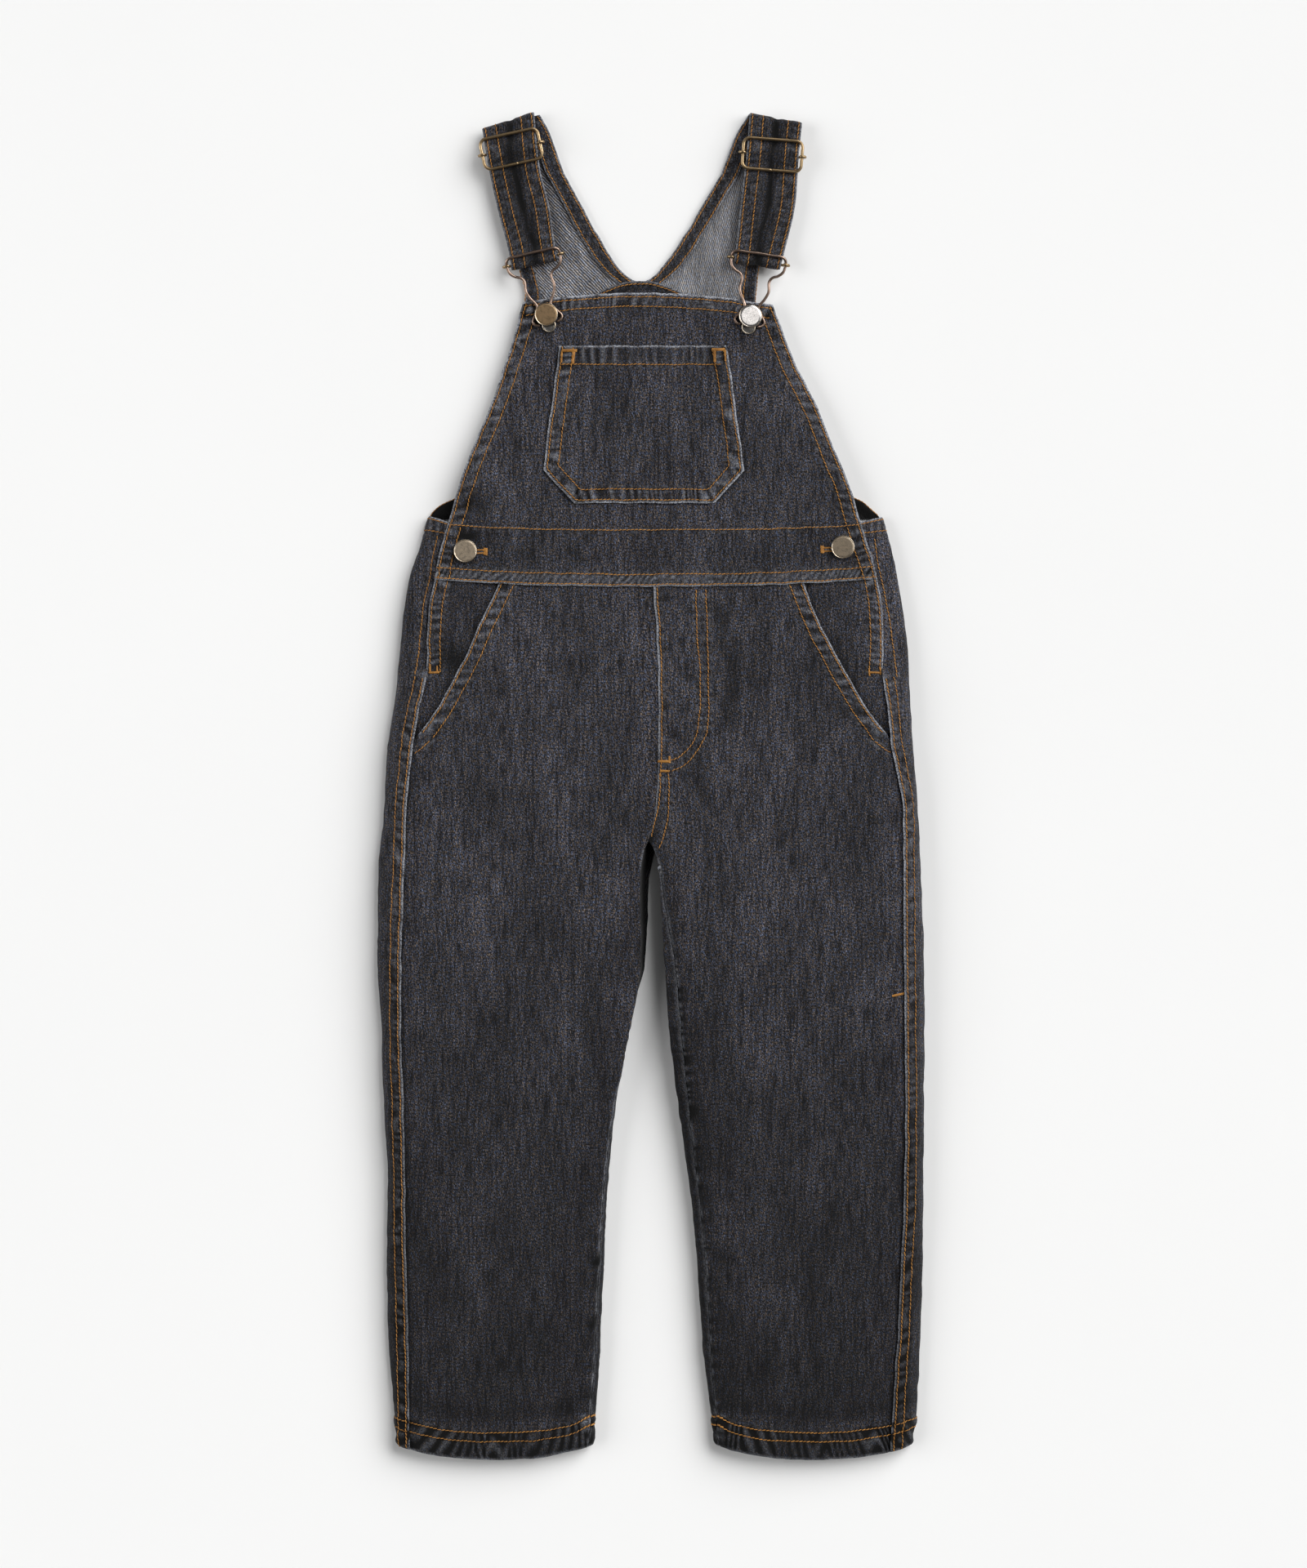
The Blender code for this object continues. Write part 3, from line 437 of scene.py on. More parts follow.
def body(side, y):
    """The measures of the body's closed ring on one side at heights y.

    A place on the ring is a number: 0 at the outer fold, 1 and 2 at the ends of the level
    front, 3 at the inner fold or centre seam, 4 and 5 at the ends of the underside, 6 at the
    outer fold again.
    """
    b = SimpleNamespace(side=side, y=y)
    b.fold = OUTLINE(f"fold_{side_name(side)}", y)
    b.width = np.abs(inner_edge(side, y) - b.fold)
    b.height = DEPTH("height", y)
    b.inner_height = b.height * DEPTH("inner_share", y)
    b.fold_height = b.height * FOLD_SHARE
    b.reach = DEPTH("inner_reach", y)
    b.under = LEFT_UNDER("under", y) if side == LEFT else DEPTH("inner_under", y)
    return b


def flat_place(b, ring):
    """Distance in from the fold, and height, of places on the ring."""
    a = (ring - np.floor(ring)) * QUARTER_TURN
    rising, falling = np.sin(a), np.cos(a)
    level_end = b.width - b.reach
    f = ring - 1
    parts = (
        (FOLD_REACH * (1 - falling), mix(b.fold_height, b.height, rising)),
        (mix(FOLD_REACH, level_end, f), b.height + FRONT_RISE * np.sin(math.pi * f)),
        (level_end + b.reach * rising, mix(b.inner_height, b.height, falling)),
        (b.width - b.under * (1 - falling), b.inner_height * (1 - rising)),
        (mix(b.width - b.under, FOLD_UNDER, ring - 4), 0 * ring),
        (FOLD_UNDER * (1 - rising), b.fold_height * (1 - falling)),
    )
    which = np.clip(np.floor(ring), 0, 5).astype(int)
    full = np.broadcast_shapes(np.shape(ring), np.shape(b.width))
    across = np.choose(which, [np.broadcast_to(p[0], full) for p in parts])
    return across, np.choose(which, [np.broadcast_to(p[1], full) for p in parts])


def ring_of(b, across):
    """The place on top of the ring that is this far in from the fold."""
    level = b.width - b.reach
    outer = np.arccos(1 - np.clip(across, 0, FOLD_REACH) / FOLD_REACH) / QUARTER_TURN
    flat = 1 + (across - FOLD_REACH) / (level - FOLD_REACH)
    inner = 3 - np.arccos(1 - np.clip((b.width - across) / b.reach, 0, 1)) / QUARTER_TURN
    return np.where(across < FOLD_REACH, outer, np.where(across < level, flat, inner))


def ring_point(b, ring, lift=0.0):
    """x and z of places on the ring, moved out by lift, with the creases of the front."""
    ring = np.minimum(ring, RING_END)
    across, z = flat_place(b, ring)
    small = 0.01
    before, z0 = flat_place(b, np.maximum(ring - small, 0.0))
    after, z1 = flat_place(b, np.minimum(ring + small, RING_END))
    length = np.maximum(np.hypot(after - before, z1 - z0), 1e-9)
    up = (after - before) / length
    x = b.fold - b.side * (across - lift * (z1 - z0) / length)
    return x, z + lift * up + lie(x, b.y) * np.clip(up, 0, 1) ** 2


def front(x, y, lift=0.0):
    """Height of the front's outer face above (x, y), lift higher."""
    x, y = np.broadcast_arrays(np.asarray(x, float), np.asarray(y, float))
    height = np.zeros(x.shape)
    left = x < CENTRE("x", y)
    for side, here in ((LEFT, left), (RIGHT, ~left)):
        b = body(side, y)
        _, z = flat_place(b, np.minimum(ring_of(b, np.abs(x - b.fold)), FRONT_END))
        height = np.where(here, z, height)
    return height + lie(x, y) + lift


def inseam_ring(b, clear):
    inset = INNER(f"inseam_{side_name(b.side)}", b.y)
    ring = np.where(inset > 0, ring_of(b, b.width - np.maximum(inset, 0)), 3 - inset / 10)
    small = 0.02
    a0, z0 = flat_place(b, ring - small)
    a1, z1 = flat_place(b, ring + small)
    return ring + clear * 2 * small / np.hypot(a1 - a0, z1 - z0)


def dipped(b, x):
    """y moved down to the hem's curve, more so nearer the hem."""
    share = np.abs(2 * np.abs(x - b.fold) / b.width - 1)
    dip = HEM_DIP * (1 - np.minimum(1.0, share) ** 2.5)
    return b.y - dip * ease((HEM_START - b.y) / (HEM_START - HEM_Y))


# ---------------------------------------------------------------- cloth

class Cloth:
    """One cut piece: points on its outer face, and where each was on the flat cloth."""

    def __init__(self, x, y, z, pattern=None, grain=None):
        self.base = np.stack(np.broadcast_arrays(x, y, z), -1).astype(float)
        self.pattern = self.base[..., :2].copy() if pattern is None else pattern
        self.grain = self.pattern if grain is None else grain
        self.rise = np.zeros(self.base.shape[:2])
        # worn: paler cloth where it wears, at edges and buttonholes, and painted highlight on pucker crests,
        # stitch tugs and ridges
        self.worn = np.zeros(self.base.shape[:2])
        # dusk: painted shade in grooves, pucker troughs, creases, hollows and beside lapping edges, with some
        # darker tone of whole pieces
        self.dusk = np.zeros(self.base.shape[:2])
        self.rows = []

    def edge(self, name):
        """An edge of the pattern as a line: the grid's first or last column or row."""
        cut = {
            "first": self.pattern[:, 0],
            "last": self.pattern[:, -1],
            "top": self.pattern[0],
            "foot": self.pattern[-1],
        }[name]
        keep = np.unique(np.linspace(0, len(cut) - 1, 70).astype(int))
        return cut[keep]

    def inset(self, path, distance, within=(0.0, 0.0)):
        """A line this far inside an edge, left out for a stretch at its start and its end."""
        path = np.asarray(path, float)
        across = to_left(unit(np.diff(path, axis=0)))
        before, after = np.vstack((across[:1], across)), np.vstack((across, across[-1:]))
        bisector = before + after
        bisector /= np.maximum((bisector * before).sum(1), 0.2)[:, None]
        middle = self.pattern.reshape(-1, 2).mean(0)
        inward = np.sign(((middle - path) * bisector).sum())
        return stretch(path + inward * distance * bisector, *within)

    def edge_finish(self, path, fold=0.0, pucker=0.0, period=6.0, slant=0.0, worn=0.7,
                    until=None, raised=0.35, ridge=0.0, seed=0):
        """The look of a sewn edge: rolled, its fold wearing pale, doubled over, with puckers in the fold;
        painted shade beside the fold and in the pucker troughs, painted highlight on the pucker crests.
        """
        away, along = nearest_on(path, self.pattern)
        here = 1.0 if until is None else ease((self.pattern[..., 1] - until) / 6)
        self.rise -= 0.45 * np.clip(1 - away / 0.9, 0, 1) ** 2 * here
        paled = 0.75 + 0.35 * ragged(along, 4.0, seed + 3)
        self.worn += 1.6 * worn * paled * bump_at(away - 0.2, 0.72) * here
        if not fold:
            return
        doubled = ease((fold + 1.0 - away) / 1.8)
        self.rise += raised * doubled * here
        # Painted shadow on the cloth just past the doubled fold; ridge moves part of it into a painted shadow
        # further out and a painted highlight on the crest just past the fold.
        self.dusk += (0.30 - ridge) * bump_at(away - fold - 1.6, 1.3) * here
        shadow, crest = bump_at(away - fold - 12, 5.0), bump_at(away - fold - 4, 3.5)
        self.dusk += ridge * (0.5 * shadow - 0.7 * crest) * here
        wander = 1.3 * ragged(along, 11.0, seed + 5)
        phase = (along + slant * away) / period + wander
        strength = 0.78 + 0.32 * ragged(along, 14.0, seed + 9)
        wave = np.cos(2 * math.pi * phase) * strength
        window = ease((away - 0.4) / 2) * ease((fold + 2.5 - away) / 4) * here
        self.rise += 1.7 * pucker * wave * window
        # Pucker crests paler, wear and painted highlight; troughs and the doubled band darker, painted shade.
        self.worn += pucker * 0.95 * np.clip(wave, 0, 1) ** 2 * window
        self.dusk += (0.10 + pucker * 2.9 * np.clip(-wave, 0, 1)) * window

    def sew(self, path, kind="row"):
        """Add a row of stitches, which presses a groove into the cloth, with painted shade in the groove and
        pale flecks beside it where the thread tugs, wear and painted highlight.
        """
        path = np.asarray(path, float)
        self.rows.append((path, kind))
        away, along = nearest_on(path, self.pattern)
        self.rise -= 0.12 * bump_at(away, 0.9)
        # Painted shade in the groove.
        self.dusk += 0.34 * bump_at(away, 1.0)
        # Pale flecks beside the row where the thread tugs: wear and painted highlight.
        tug = np.clip(np.cos(2 * math.pi * (along / 5.4 + 0.7 * ragged(along, 9, 4))), 0, 1)
        self.worn += 0.26 * tug * bump_at(away - 1.5, 0.7)

    def shade_beside(self, path, amount=0.5, width=1.6):
        """Painted shade on the cloth below, close beside the edge that laps over it or along a fold; a
        negative amount paints a lighter band.
        """
        away, _ = nearest_on(path, self.pattern)
        self.dusk += amount * bump_at(away, width)

    def hem_rows(self, distances, **finish):
        """The rows of a trouser hem, which rise a little where they meet the inseam."""
        self.edge_finish(self.edge("foot"), **finish)
        far = lengths(self.pattern[-1])
        rise = 2.0 * ease(1 - (far[-1] - far) / 14)
        for distance in distances:
            upwards = self.pattern[::-1]
            row = [points_at(upwards[:, c], distance + rise[c]) for c in range(len(far))]
            row = np.array(row[::-1])
            self.sew(stretch(row, 0.0, 0.2))
            self.sew(stretch(row, 0.0, lengths(row)[-1] - 6.5) + (0.0, 0.5))

    def sewn_edge(self, path, rows, within=(0.0, 0.0), **finish):
        """A finished edge with rows of stitches at these distances inside it."""
        self.edge_finish(path, **finish)
        for distance in rows:
            self.sew(self.inset(path, distance, within))

    def side_edges(self, rows, seed, step=1, **finish):
        """Both side edges, sewn alike."""
        for k, name in enumerate(("first", "last")):
            self.sewn_edge(self.edge(name), rows, seed=seed + k * step, **finish)

    def gathers(self, path, period, reach, strength=0.3, seed=0):
        """Small folds that run into the cloth from a row of stitches and die away, with painted highlight on
        their crests and painted shade in their troughs.
        """
        away, along = nearest_on(path, self.pattern)
        wander = 1.6 * ragged(along, 13.0, seed)
        reach = reach * (0.9 + 0.6 * ragged(along, 6.0, seed + 2))
        wave = np.cos(2 * math.pi * (along / period + wander)) * np.exp(-away / np.maximum(reach, 1.0))
        self.rise += 0.7 * strength * wave
        # Painted highlight on the crests and painted shade in the troughs.
        self.dusk -= strength * wave

    def patch(self, x, y, width, height, dusk=0.0, worn=0.0):
        """A darker or paler patch on the pattern."""
        u, v = self.pattern[..., 0] - x, self.pattern[..., 1] - y
        here = np.exp(-((u / width) ** 2) - (v / height) ** 2)
        self.dusk += dusk * here
        self.worn += worn * here

    def waver(self):
        """Small wanderings of the hand-led cutting and sewing, the same through all layers."""
        x, y = self.base[..., 0].copy(), self.base[..., 1].copy()
        self.base[..., 0] += WAVER * unevenness(x, y, 8.0, 101) + 0.4 * WAVER * unevenness(x, y, 3.5, 103)
        self.base[..., 1] += WAVER * unevenness(x, y, 8.0, 105) + 0.4 * WAVER * unevenness(x, y, 3.5, 107)

    def normals(self, points):
        return unit(np.cross(np.gradient(points, axis=0), np.gradient(points, axis=1)))

    def close(self, up, outer_above=-math.inf, inner_above=-math.inf):
        """Settle the outer face, turned so that most of it looks the way of up.

        Cloth that lies on the surface keeps both of its faces above the heights given.
        """
        if up is not None and (self.normals(self.base) @ np.array(up, float)).sum() < 0:
            for name in ("base", "pattern", "grain", "rise", "worn", "dusk"):
                setattr(self, name, getattr(self, name)[:, ::-1])
        self.outer = self.base + self.rise[..., None] * self.normals(self.base)
        self.outer[..., 2] = np.maximum(self.outer[..., 2], outer_above)
        self.inner_above = inner_above
        self.normal = self.normals(self.outer)

    def on(self, places):
        """Points and normals of the outer face at places on the pattern."""
        flat = self.pattern.reshape(-1, 2)
        if not hasattr(self, "tree"):
            self.faces = grid_triangles(*self.outer.shape[:2])
            level = np.column_stack((flat, np.zeros(len(flat))))
            self.tree = BVHTree.FromPolygons(level.tolist(), self.faces.tolist())
        points, normals = self.outer.reshape(-1, 3), self.normal.reshape(-1, 3)
        found = [self.tree.find_nearest((u, v, 0.0)) for u, v in places]
        face = self.faces[[f[2] for f in found]]
        spot = np.array([(f[0].x, f[0].y) for f in found])
        weights = barycentric(flat, face, spot)
        return (points[face] * weights).sum(1), unit((normals[face] * weights).sum(1))

    def flat_area(self):
        along, down = np.diff(self.pattern, axis=1)[:-1], np.diff(self.pattern, axis=0)[:, :-1]
        return float(np.abs(cross2(along, down)).sum())


def cross2(a, b):
    return a[..., 0] * b[..., 1] - a[..., 1] * b[..., 0]


def unit(vectors):
    """The same directions, each of length 1."""
    return vectors / np.maximum(np.linalg.norm(vectors, axis=-1, keepdims=True), 1e-9)


def to_left(directions):
    """Flat directions, turned a quarter to the left."""
    return np.stack((-directions[:, 1], directions[:, 0]), -1)


def lengths(path):
    """How far along a line each of its points is."""
    return np.concatenate(([0.0], np.cumsum(np.linalg.norm(np.diff(path, axis=0), axis=1))))


def points_at(path, distances):
    along = lengths(path)
    return np.stack([np.interp(distances, along, path[:, k]) for k in range(path.shape[1])], -1)


def stretch(path, start, end):
    """A line without its first and last few millimetres."""
    total = lengths(path)[-1]
    count = max(2, int((total - start - end) / 2))
    return points_at(path, np.linspace(start, total - end, count))


def spline(points, per_span):
    """A smooth line through all the points, with this many steps between two of them."""
    p = np.array(points, float)
    ends = np.vstack((2 * p[0] - p[1], p, 2 * p[-1] - p[-2]))
    f = (np.arange(per_span) / per_span)[:, None]
    line = [
        0.5 * (2 * p1 + (p2 - p0) * f + (2 * p0 - 5 * p1 + 4 * p2 - p3) * f**2
               + (3 * p1 - p0 - 3 * p2 + p3) * f**3)
        for p0, p1, p2, p3 in zip(ends, ends[1:], ends[2:], ends[3:])
    ]
    return np.vstack(line + [p[-1:]])


def curve(*points):
    """A smooth line through a few points, one point every 2 mm or so."""
    line = np.array(points, float) if len(points) < 3 else spline(points, 8)
    return stretch(line, 0, 0)


def grid_triangles(rows, columns):
    """Two triangles for each cell of a grid of points."""
    i = np.arange(rows * columns).reshape(rows, columns)
    a, b, c, d = (k.ravel() for k in (i[:-1, :-1], i[1:, :-1], i[1:, 1:], i[:-1, 1:]))
    return np.concatenate((np.stack((a, b, c), 1), np.stack((a, c, d), 1)))


def barycentric(flat, face, spot):
    """How much each corner of its triangle counts at a place, for many places."""
    a, b, c = (flat[face[:, k]] for k in range(3))
    area = cross2(b - a, c - a)
    area = np.where(np.abs(area) < 1e-12, 1e-12, area)
    wb, wc = cross2(spot - a, c - a) / area, cross2(b - a, spot - a) / area
    return np.stack((1 - wb - wc, wb, wc), 1)[..., None]


# ---------------------------------------------------------------- meshes

def add_object(name, data):
    obj = bpy.data.objects.new(name, data)
    bpy.context.scene.collection.objects.link(obj)
    return obj


def bands(rings, sides):
    """Faces between rings of points that each close on themselves."""
    here = np.arange(rings * sides).reshape(rings, sides)
    after = np.roll(here, -1, axis=1)
    return np.stack((here[:-1], here[1:], after[1:], after[:-1]), -1).reshape(-1, 4)


def capped_bands(rings, sides):
    """The same faces turned the other way, with a cap on the first and the last ring."""
    last = (rings - 1) * sides
    faces = bands(rings, sides)[:, [0, 3, 2, 1]].tolist()
    return faces + [list(range(sides))[::-1], list(range(last, last + sides))]


def second_finish(obj, start, stop):
    """Give the faces from start up to stop the second of the object's finishes."""
    finish_of = np.zeros(len(obj.data.polygons), np.int32)
    finish_of[start:stop] = 1
    obj.data.polygons.foreach_set("material_index", finish_of)


def mesh_object(name, points, faces, finishes, smooth_to=55):
    mesh = bpy.data.meshes.new(name)
    mesh.from_pydata((np.asarray(points) * MM).tolist(), [], faces)
    for finish in finishes:
        mesh.materials.append(finish)
    mesh.shade_smooth()
    mesh.set_sharp_from_angle(angle=math.radians(smooth_to))
    return add_object(name, mesh)


def shell(name, cloth, outside, inside, wall=SHELL):
    """The closed wall of a cloth piece: outer face, inner face and cut edge."""
    rows, columns = cloth.outer.shape[:2]
    count = rows * columns
    inner = cloth.outer - wall * cloth.normal
    inner[..., 2] = np.maximum(inner[..., 2], cloth.inner_above)
    i = np.arange(count).reshape(rows, columns)
    quads = np.stack((i[:-1, :-1], i[1:, :-1], i[1:, 1:], i[:-1, 1:]), -1).reshape(-1, 4)
    loop = np.concatenate((i[0], i[1:, -1], i[-1, -2::-1], i[-2:0:-1, 0]))
    following = np.roll(loop, -1)
    rim = np.stack((loop, following, following + count, loop + count), -1)
    faces = np.concatenate((quads, quads[:, ::-1] + count, rim))
    obj = mesh_object(
        name,
        np.concatenate((cloth.outer.reshape(-1, 3), inner.reshape(-1, 3))),
        faces.tolist(),
        (outside, inside),
    )
    mesh = obj.data
    second_finish(obj, len(quads), 2 * len(quads))
    for attribute, values in (("worn", cloth.worn), ("dusk", cloth.dusk)):
        layer = mesh.attributes.new(attribute, "FLOAT", "POINT")
        layer.data.foreach_set("value", np.tile(values.ravel(), 2).astype(np.float32))
    uv = mesh.uv_layers.new(name="grain")
    corners = np.empty(len(mesh.loops), np.int32)
    mesh.loops.foreach_get("vertex_index", corners)
    grain = np.tile(cloth.grain.reshape(-1, 2), (2, 1))[corners] * MM
    uv.data.foreach_set("uv", grain.astype(np.float32).ravel())
    return obj


STITCH = 2.45  # from one stitch to the next
STITCH_LENGTH = 2.2
STITCH_LEAN = 0.24  # how far a stitch's ends lie to either side of its row
THREAD_R = 0.28
TACK_PITCH, TACK_THICKER = 0.56, 1.3


def thread_runs(cloth):
    """Start, middle and end of each stitch of a piece, with the normal there and its thickness."""
    runs = []
    for path, kind in cloth.rows:
        is_row, total = kind == "row", lengths(path)[-1]
        if is_row:
            first = np.arange(0.2, total - STITCH_LENGTH, STITCH)
            places = [points_at(path, first + STITCH_LENGTH * f) for f in (0.0, 0.5, 1.0)]
        else:
            first = np.arange(0.0, total, TACK_PITCH)
            places = [points_at(path, first)] * 3
        after, before = (points_at(path, np.clip(first + step, 0, total)) for step in (0.5, -0.5))
        ahead = unit(after - before)
        half = STITCH_LEAN if is_row else float(kind) / 2
        places = [place + to_left(ahead) * s * half for place, s in zip(places, (-1.0, 0.0, 1.0))]
        if not is_row:
            places[2] = places[2] + ahead * TACK_PITCH * 0.5
        (start, _), (middle, normal), (end, _) = (cloth.on(place) for place in places)
        runs.append((start, middle, end, normal, np.full((len(first), 1), 1.0 if is_row else TACK_THICKER)))
    return [np.concatenate(column) for column in zip(*runs)]


def topstitching(name, cloth, finish):
    """All the stitches of a piece as one mesh of short rounded runs of thread."""
    start, middle, end, normal, size = thread_runs(cloth)
    sideways = np.cross(normal, unit(end - start))
    rings, sides = ((0.0, 0.62, -0.08), (0.2, 1.0, 0.12), (0.8, 1.0, 0.12), (1.0, 0.62, -0.08)), 5
    points = []
    for f, thick, lift in rings:
        centre = start * (1 - f) * (1 - 2 * f) + middle * 4 * f * (1 - f) + end * f * (2 * f - 1)
        for k in range(sides):
            a = 2 * math.pi * k / sides
            out = math.cos(a) * sideways + math.sin(a) * 0.8 * normal
            points.append(centre + (lift + 0.10) * normal + THREAD_R * thick * size * out)
    points = np.stack(points, 1)
    each = len(rings) * sides
    first = np.arange(len(points))[:, None] * each
    faces = (bands(len(rings), sides) + first[..., None]).reshape(-1, 4).tolist()
    for cap in (np.arange(sides), np.arange(each - 1, each - sides - 1, -1)):
        faces += (cap + first).tolist()
    return mesh_object(name, points.reshape(-1, 3), faces, (finish,))


def piece(obj, slot, *nodes):
    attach(obj, "root")
    if nodes:
        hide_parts(*nodes)
    return obj


def finish_cloth(node, cloth, up=(0, 0, 1), wall=SHELL, outside=None, inside=None, name=None,
                 rests_on=(), slot="denim", narrow=False):
    """Turn a finished piece of cloth into its mesh and its stitches."""
    if up is not None:
        cloth.waver()
    if "floor" in rests_on:
        cloth.close(up, *((wall, 0.0) if up[2] > 0 else (0.0, GAP)))
    else:
        cloth.close(up)
    name = name or node
    obj = shell(f"{name}_cloth", cloth, outside or DENIM, inside or DENIM_INSIDE, wall)
    piece(obj, slot, node)
    sewing = []
    if cloth.rows:
        thread = topstitching(f"{name}_topstitching", cloth, THREAD)
        sewing = [piece(thread, "denim")]
    size = np.ptp(cloth.pattern.reshape(-1, 2), axis=0) * MM
    area = cloth.flat_area() * MM * MM
    if narrow:
        length = lengths(cloth.pattern[:, cloth.pattern.shape[1] // 2])[-1] * MM
        size = (max(area / length, LEAST_SHEET), length)
    area = min(area, float(size[0] * size[1]))
    return obj


# ---------------------------------------------------------------- finishes

class Net:
    """Short way to write a node tree."""

    def __init__(self, tree):
        self.tree = tree

    def add(self, kind, values=(), out=0, **settings):
        node = self.tree.nodes.new("ShaderNode" + kind)
        for key, value in settings.items():
            setattr(node, key, value)
        pairs = values.items() if isinstance(values, dict) else enumerate(values)
        for key, value in pairs:
            if value is not None:
                self.put(node.inputs[key], value)
        return node.outputs[out]

    def put(self, socket, value):
        if isinstance(value, bpy.types.NodeSocket):
            self.tree.links.new(value, socket)
        else:
            socket.default_value = value

    def math(self, operation, *values, clamp=False):
        return self.add("Math", values, operation=operation, use_clamp=clamp)

    def noise(self, vector, scale, detail=3.0, roughness=0.55):
        values = {"Vector": vector, "Scale": scale, "Detail": detail, "Roughness": roughness}
        return self.add("TexNoise", values)

    def ramp(self, value, low, high, to_low=0.0, to_high=1.0):
        return self.add("MapRange", (value, low, high, to_low, to_high), clamp=True)

    def blend(self, share, a, b, how="MIX"):
        values = {0: share, 6: a, 7: b}
        return self.add("Mix", values, out=2, data_type="RGBA", blend_type=how, clamp_factor=True)

    def stretched(self, vector, x, y):
        return self.add("Mapping", {"Vector": vector, "Scale": (x, y, x)})


def group(name, inputs, outputs):
    tree = bpy.data.node_groups.new(name, "ShaderNodeTree")
    for label, kind, value in inputs:
        socket = tree.interface.new_socket(name=label, in_out="INPUT", socket_type="NodeSocket" + kind)
        if value is not None:
            socket.default_value = value
    for label, kind in outputs:
        tree.interface.new_socket(name=label, in_out="OUTPUT", socket_type="NodeSocket" + kind)
    net = Net(tree)
    net.ins = tree.nodes.new("NodeGroupInput").outputs
    net.outs = tree.nodes.new("NodeGroupOutput").inputs
    return net


def twill_weave():
    """Ribs, streaks and flecks of a twill cloth, by the threads' own directions."""
    net = group(
        "Twill weave",
        (("Grain", "Vector", None), ("Lean", "Float", 0.45), ("Pitch", "Float", 0.0011)),
        tuple((name, "Float") for name in ("Ribs", "Streaks", "Floats", "Tint", "Height")),
    )
    grain = net.ins["Grain"]
    across, along = (net.add("SeparateXYZ", (grain,), out=k) for k in (0, 1))
    slid = net.math("SUBTRACT", across, net.math("MULTIPLY", along, net.ins["Lean"]))
    wander = net.math("MULTIPLY", net.noise(grain, 260.0, 2.0), 0.9)
    phase = net.math("ADD", net.math("DIVIDE", slid, net.ins["Pitch"]), wander)
    ribs = net.math("MULTIPLY_ADD", net.math("SINE", net.math("MULTIPLY", phase, 2 * math.pi)), 0.5, 0.5)
    sheared = net.add("CombineXYZ", (slid, along, 0.0))
    floats = net.ramp(net.noise(net.stretched(sheared, 1200.0, 900.0), 1.0, 1.5, 0.9), 0.33, 0.67)
    floats = net.math("POWER", floats, 1.5)
    tint = net.ramp(net.noise(net.stretched(sheared, 850.0, 560.0), 1.0, 1.0), 0.38, 0.62)
    fine = net.noise(net.stretched(grain, 760.0, 75.0), 1.0, 2.0, 0.6)
    broad = net.noise(net.stretched(grain, 220.0, 18.0), 1.0, 2.0, 0.5)
    streaks = net.ramp(net.math("MULTIPLY_ADD", broad, 0.28, net.math("MULTIPLY", fine, 0.72)), 0.36, 0.64)
    height = net.math("MULTIPLY_ADD", ribs, 0.55, net.math("MULTIPLY", floats, 0.6))
    values = (("Ribs", ribs), ("Streaks", streaks), ("Floats", floats), ("Tint", tint), ("Height", height))
    for name, value in values:
        net.put(net.outs[name], value)
    return net.tree


def denim_colour():
    """Colour of washed denim: heathered threads; paler where the cloth wears and where a highlight is
    painted, darker where shade is painted and where its tone is darker.
    """
    net = group(
        "Denim colour",
        (
            ("Dark", "Color", (0.02, 0.02, 0.025, 1)), ("Mid", "Color", (0.05, 0.05, 0.055, 1)),
            ("Rubbed", "Color", (0.26, 0.28, 0.33, 1)),
            *((name, "Float", 0.5) for name in ("Ribs", "Streaks", "Floats", "Tint")),
            ("Worn", "Float", 0.0), ("Dusk", "Float", 0.0), ("Place", "Vector", None),
            ("Rib contrast", "Float", 0.2), ("Heather", "Float", 1.3), ("Tinted", "Float", 1.0),
        ),
        (("Color", "Color"), ("Roughness", "Float")),
    )
    i = net.ins

    def toned(base, factor):
        return net.blend(1.0, base, net.add("CombineXYZ", (factor, factor, factor)), "MULTIPLY")

    base = net.blend(i["Streaks"], i["Dark"], i["Mid"])
    brown, blue = (1.29, 1.0, 0.67, 1), (0.74, 0.97, 1.39, 1)
    base = net.blend(i["Tinted"], base, net.blend(1.0, base, net.blend(i["Tint"], brown, blue), "MULTIPLY"))
    heather = net.math("MULTIPLY_ADD", net.math("SUBTRACT", i["Floats"], 0.38), i["Heather"], 1.0)
    heather = net.math("MAXIMUM", heather, 0.1)
    cloudy = net.ramp(net.noise(net.stretched(i["Place"], 44.0, 20.0), 1.0, 2.0, 0.5), 0.32, 0.68, 0.70, 1.30)
    ribbed = net.math("MULTIPLY_ADD", net.math("SUBTRACT", i["Ribs"], 0.5), i["Rib contrast"], 1.0)
    base = toned(base, net.math("MULTIPLY", cloudy, net.math("MULTIPLY", ribbed, heather)))
    # Blend to the pale colour where the cloth wears and where a highlight is painted.
    patchy = net.ramp(net.noise(i["Place"], 1000.0, 2.0, 0.8), 0.36, 0.64, 0.0, 1.7)
    paled = net.math("MULTIPLY", i["Worn"], patchy, clamp=True)
    base = net.blend(paled, base, i["Rubbed"])
    # Painted shade and darker tone: the colour is multiplied down by the darkening input.
    dimming = net.math("SUBTRACT", 1.0, net.math("MULTIPLY", i["Dusk"], 0.75), clamp=True)
    net.put(net.outs["Color"], toned(base, dimming))
    net.put(net.outs["Roughness"], net.ramp(paled, 0.0, 1.0, 0.95, 0.82))
    return net.tree


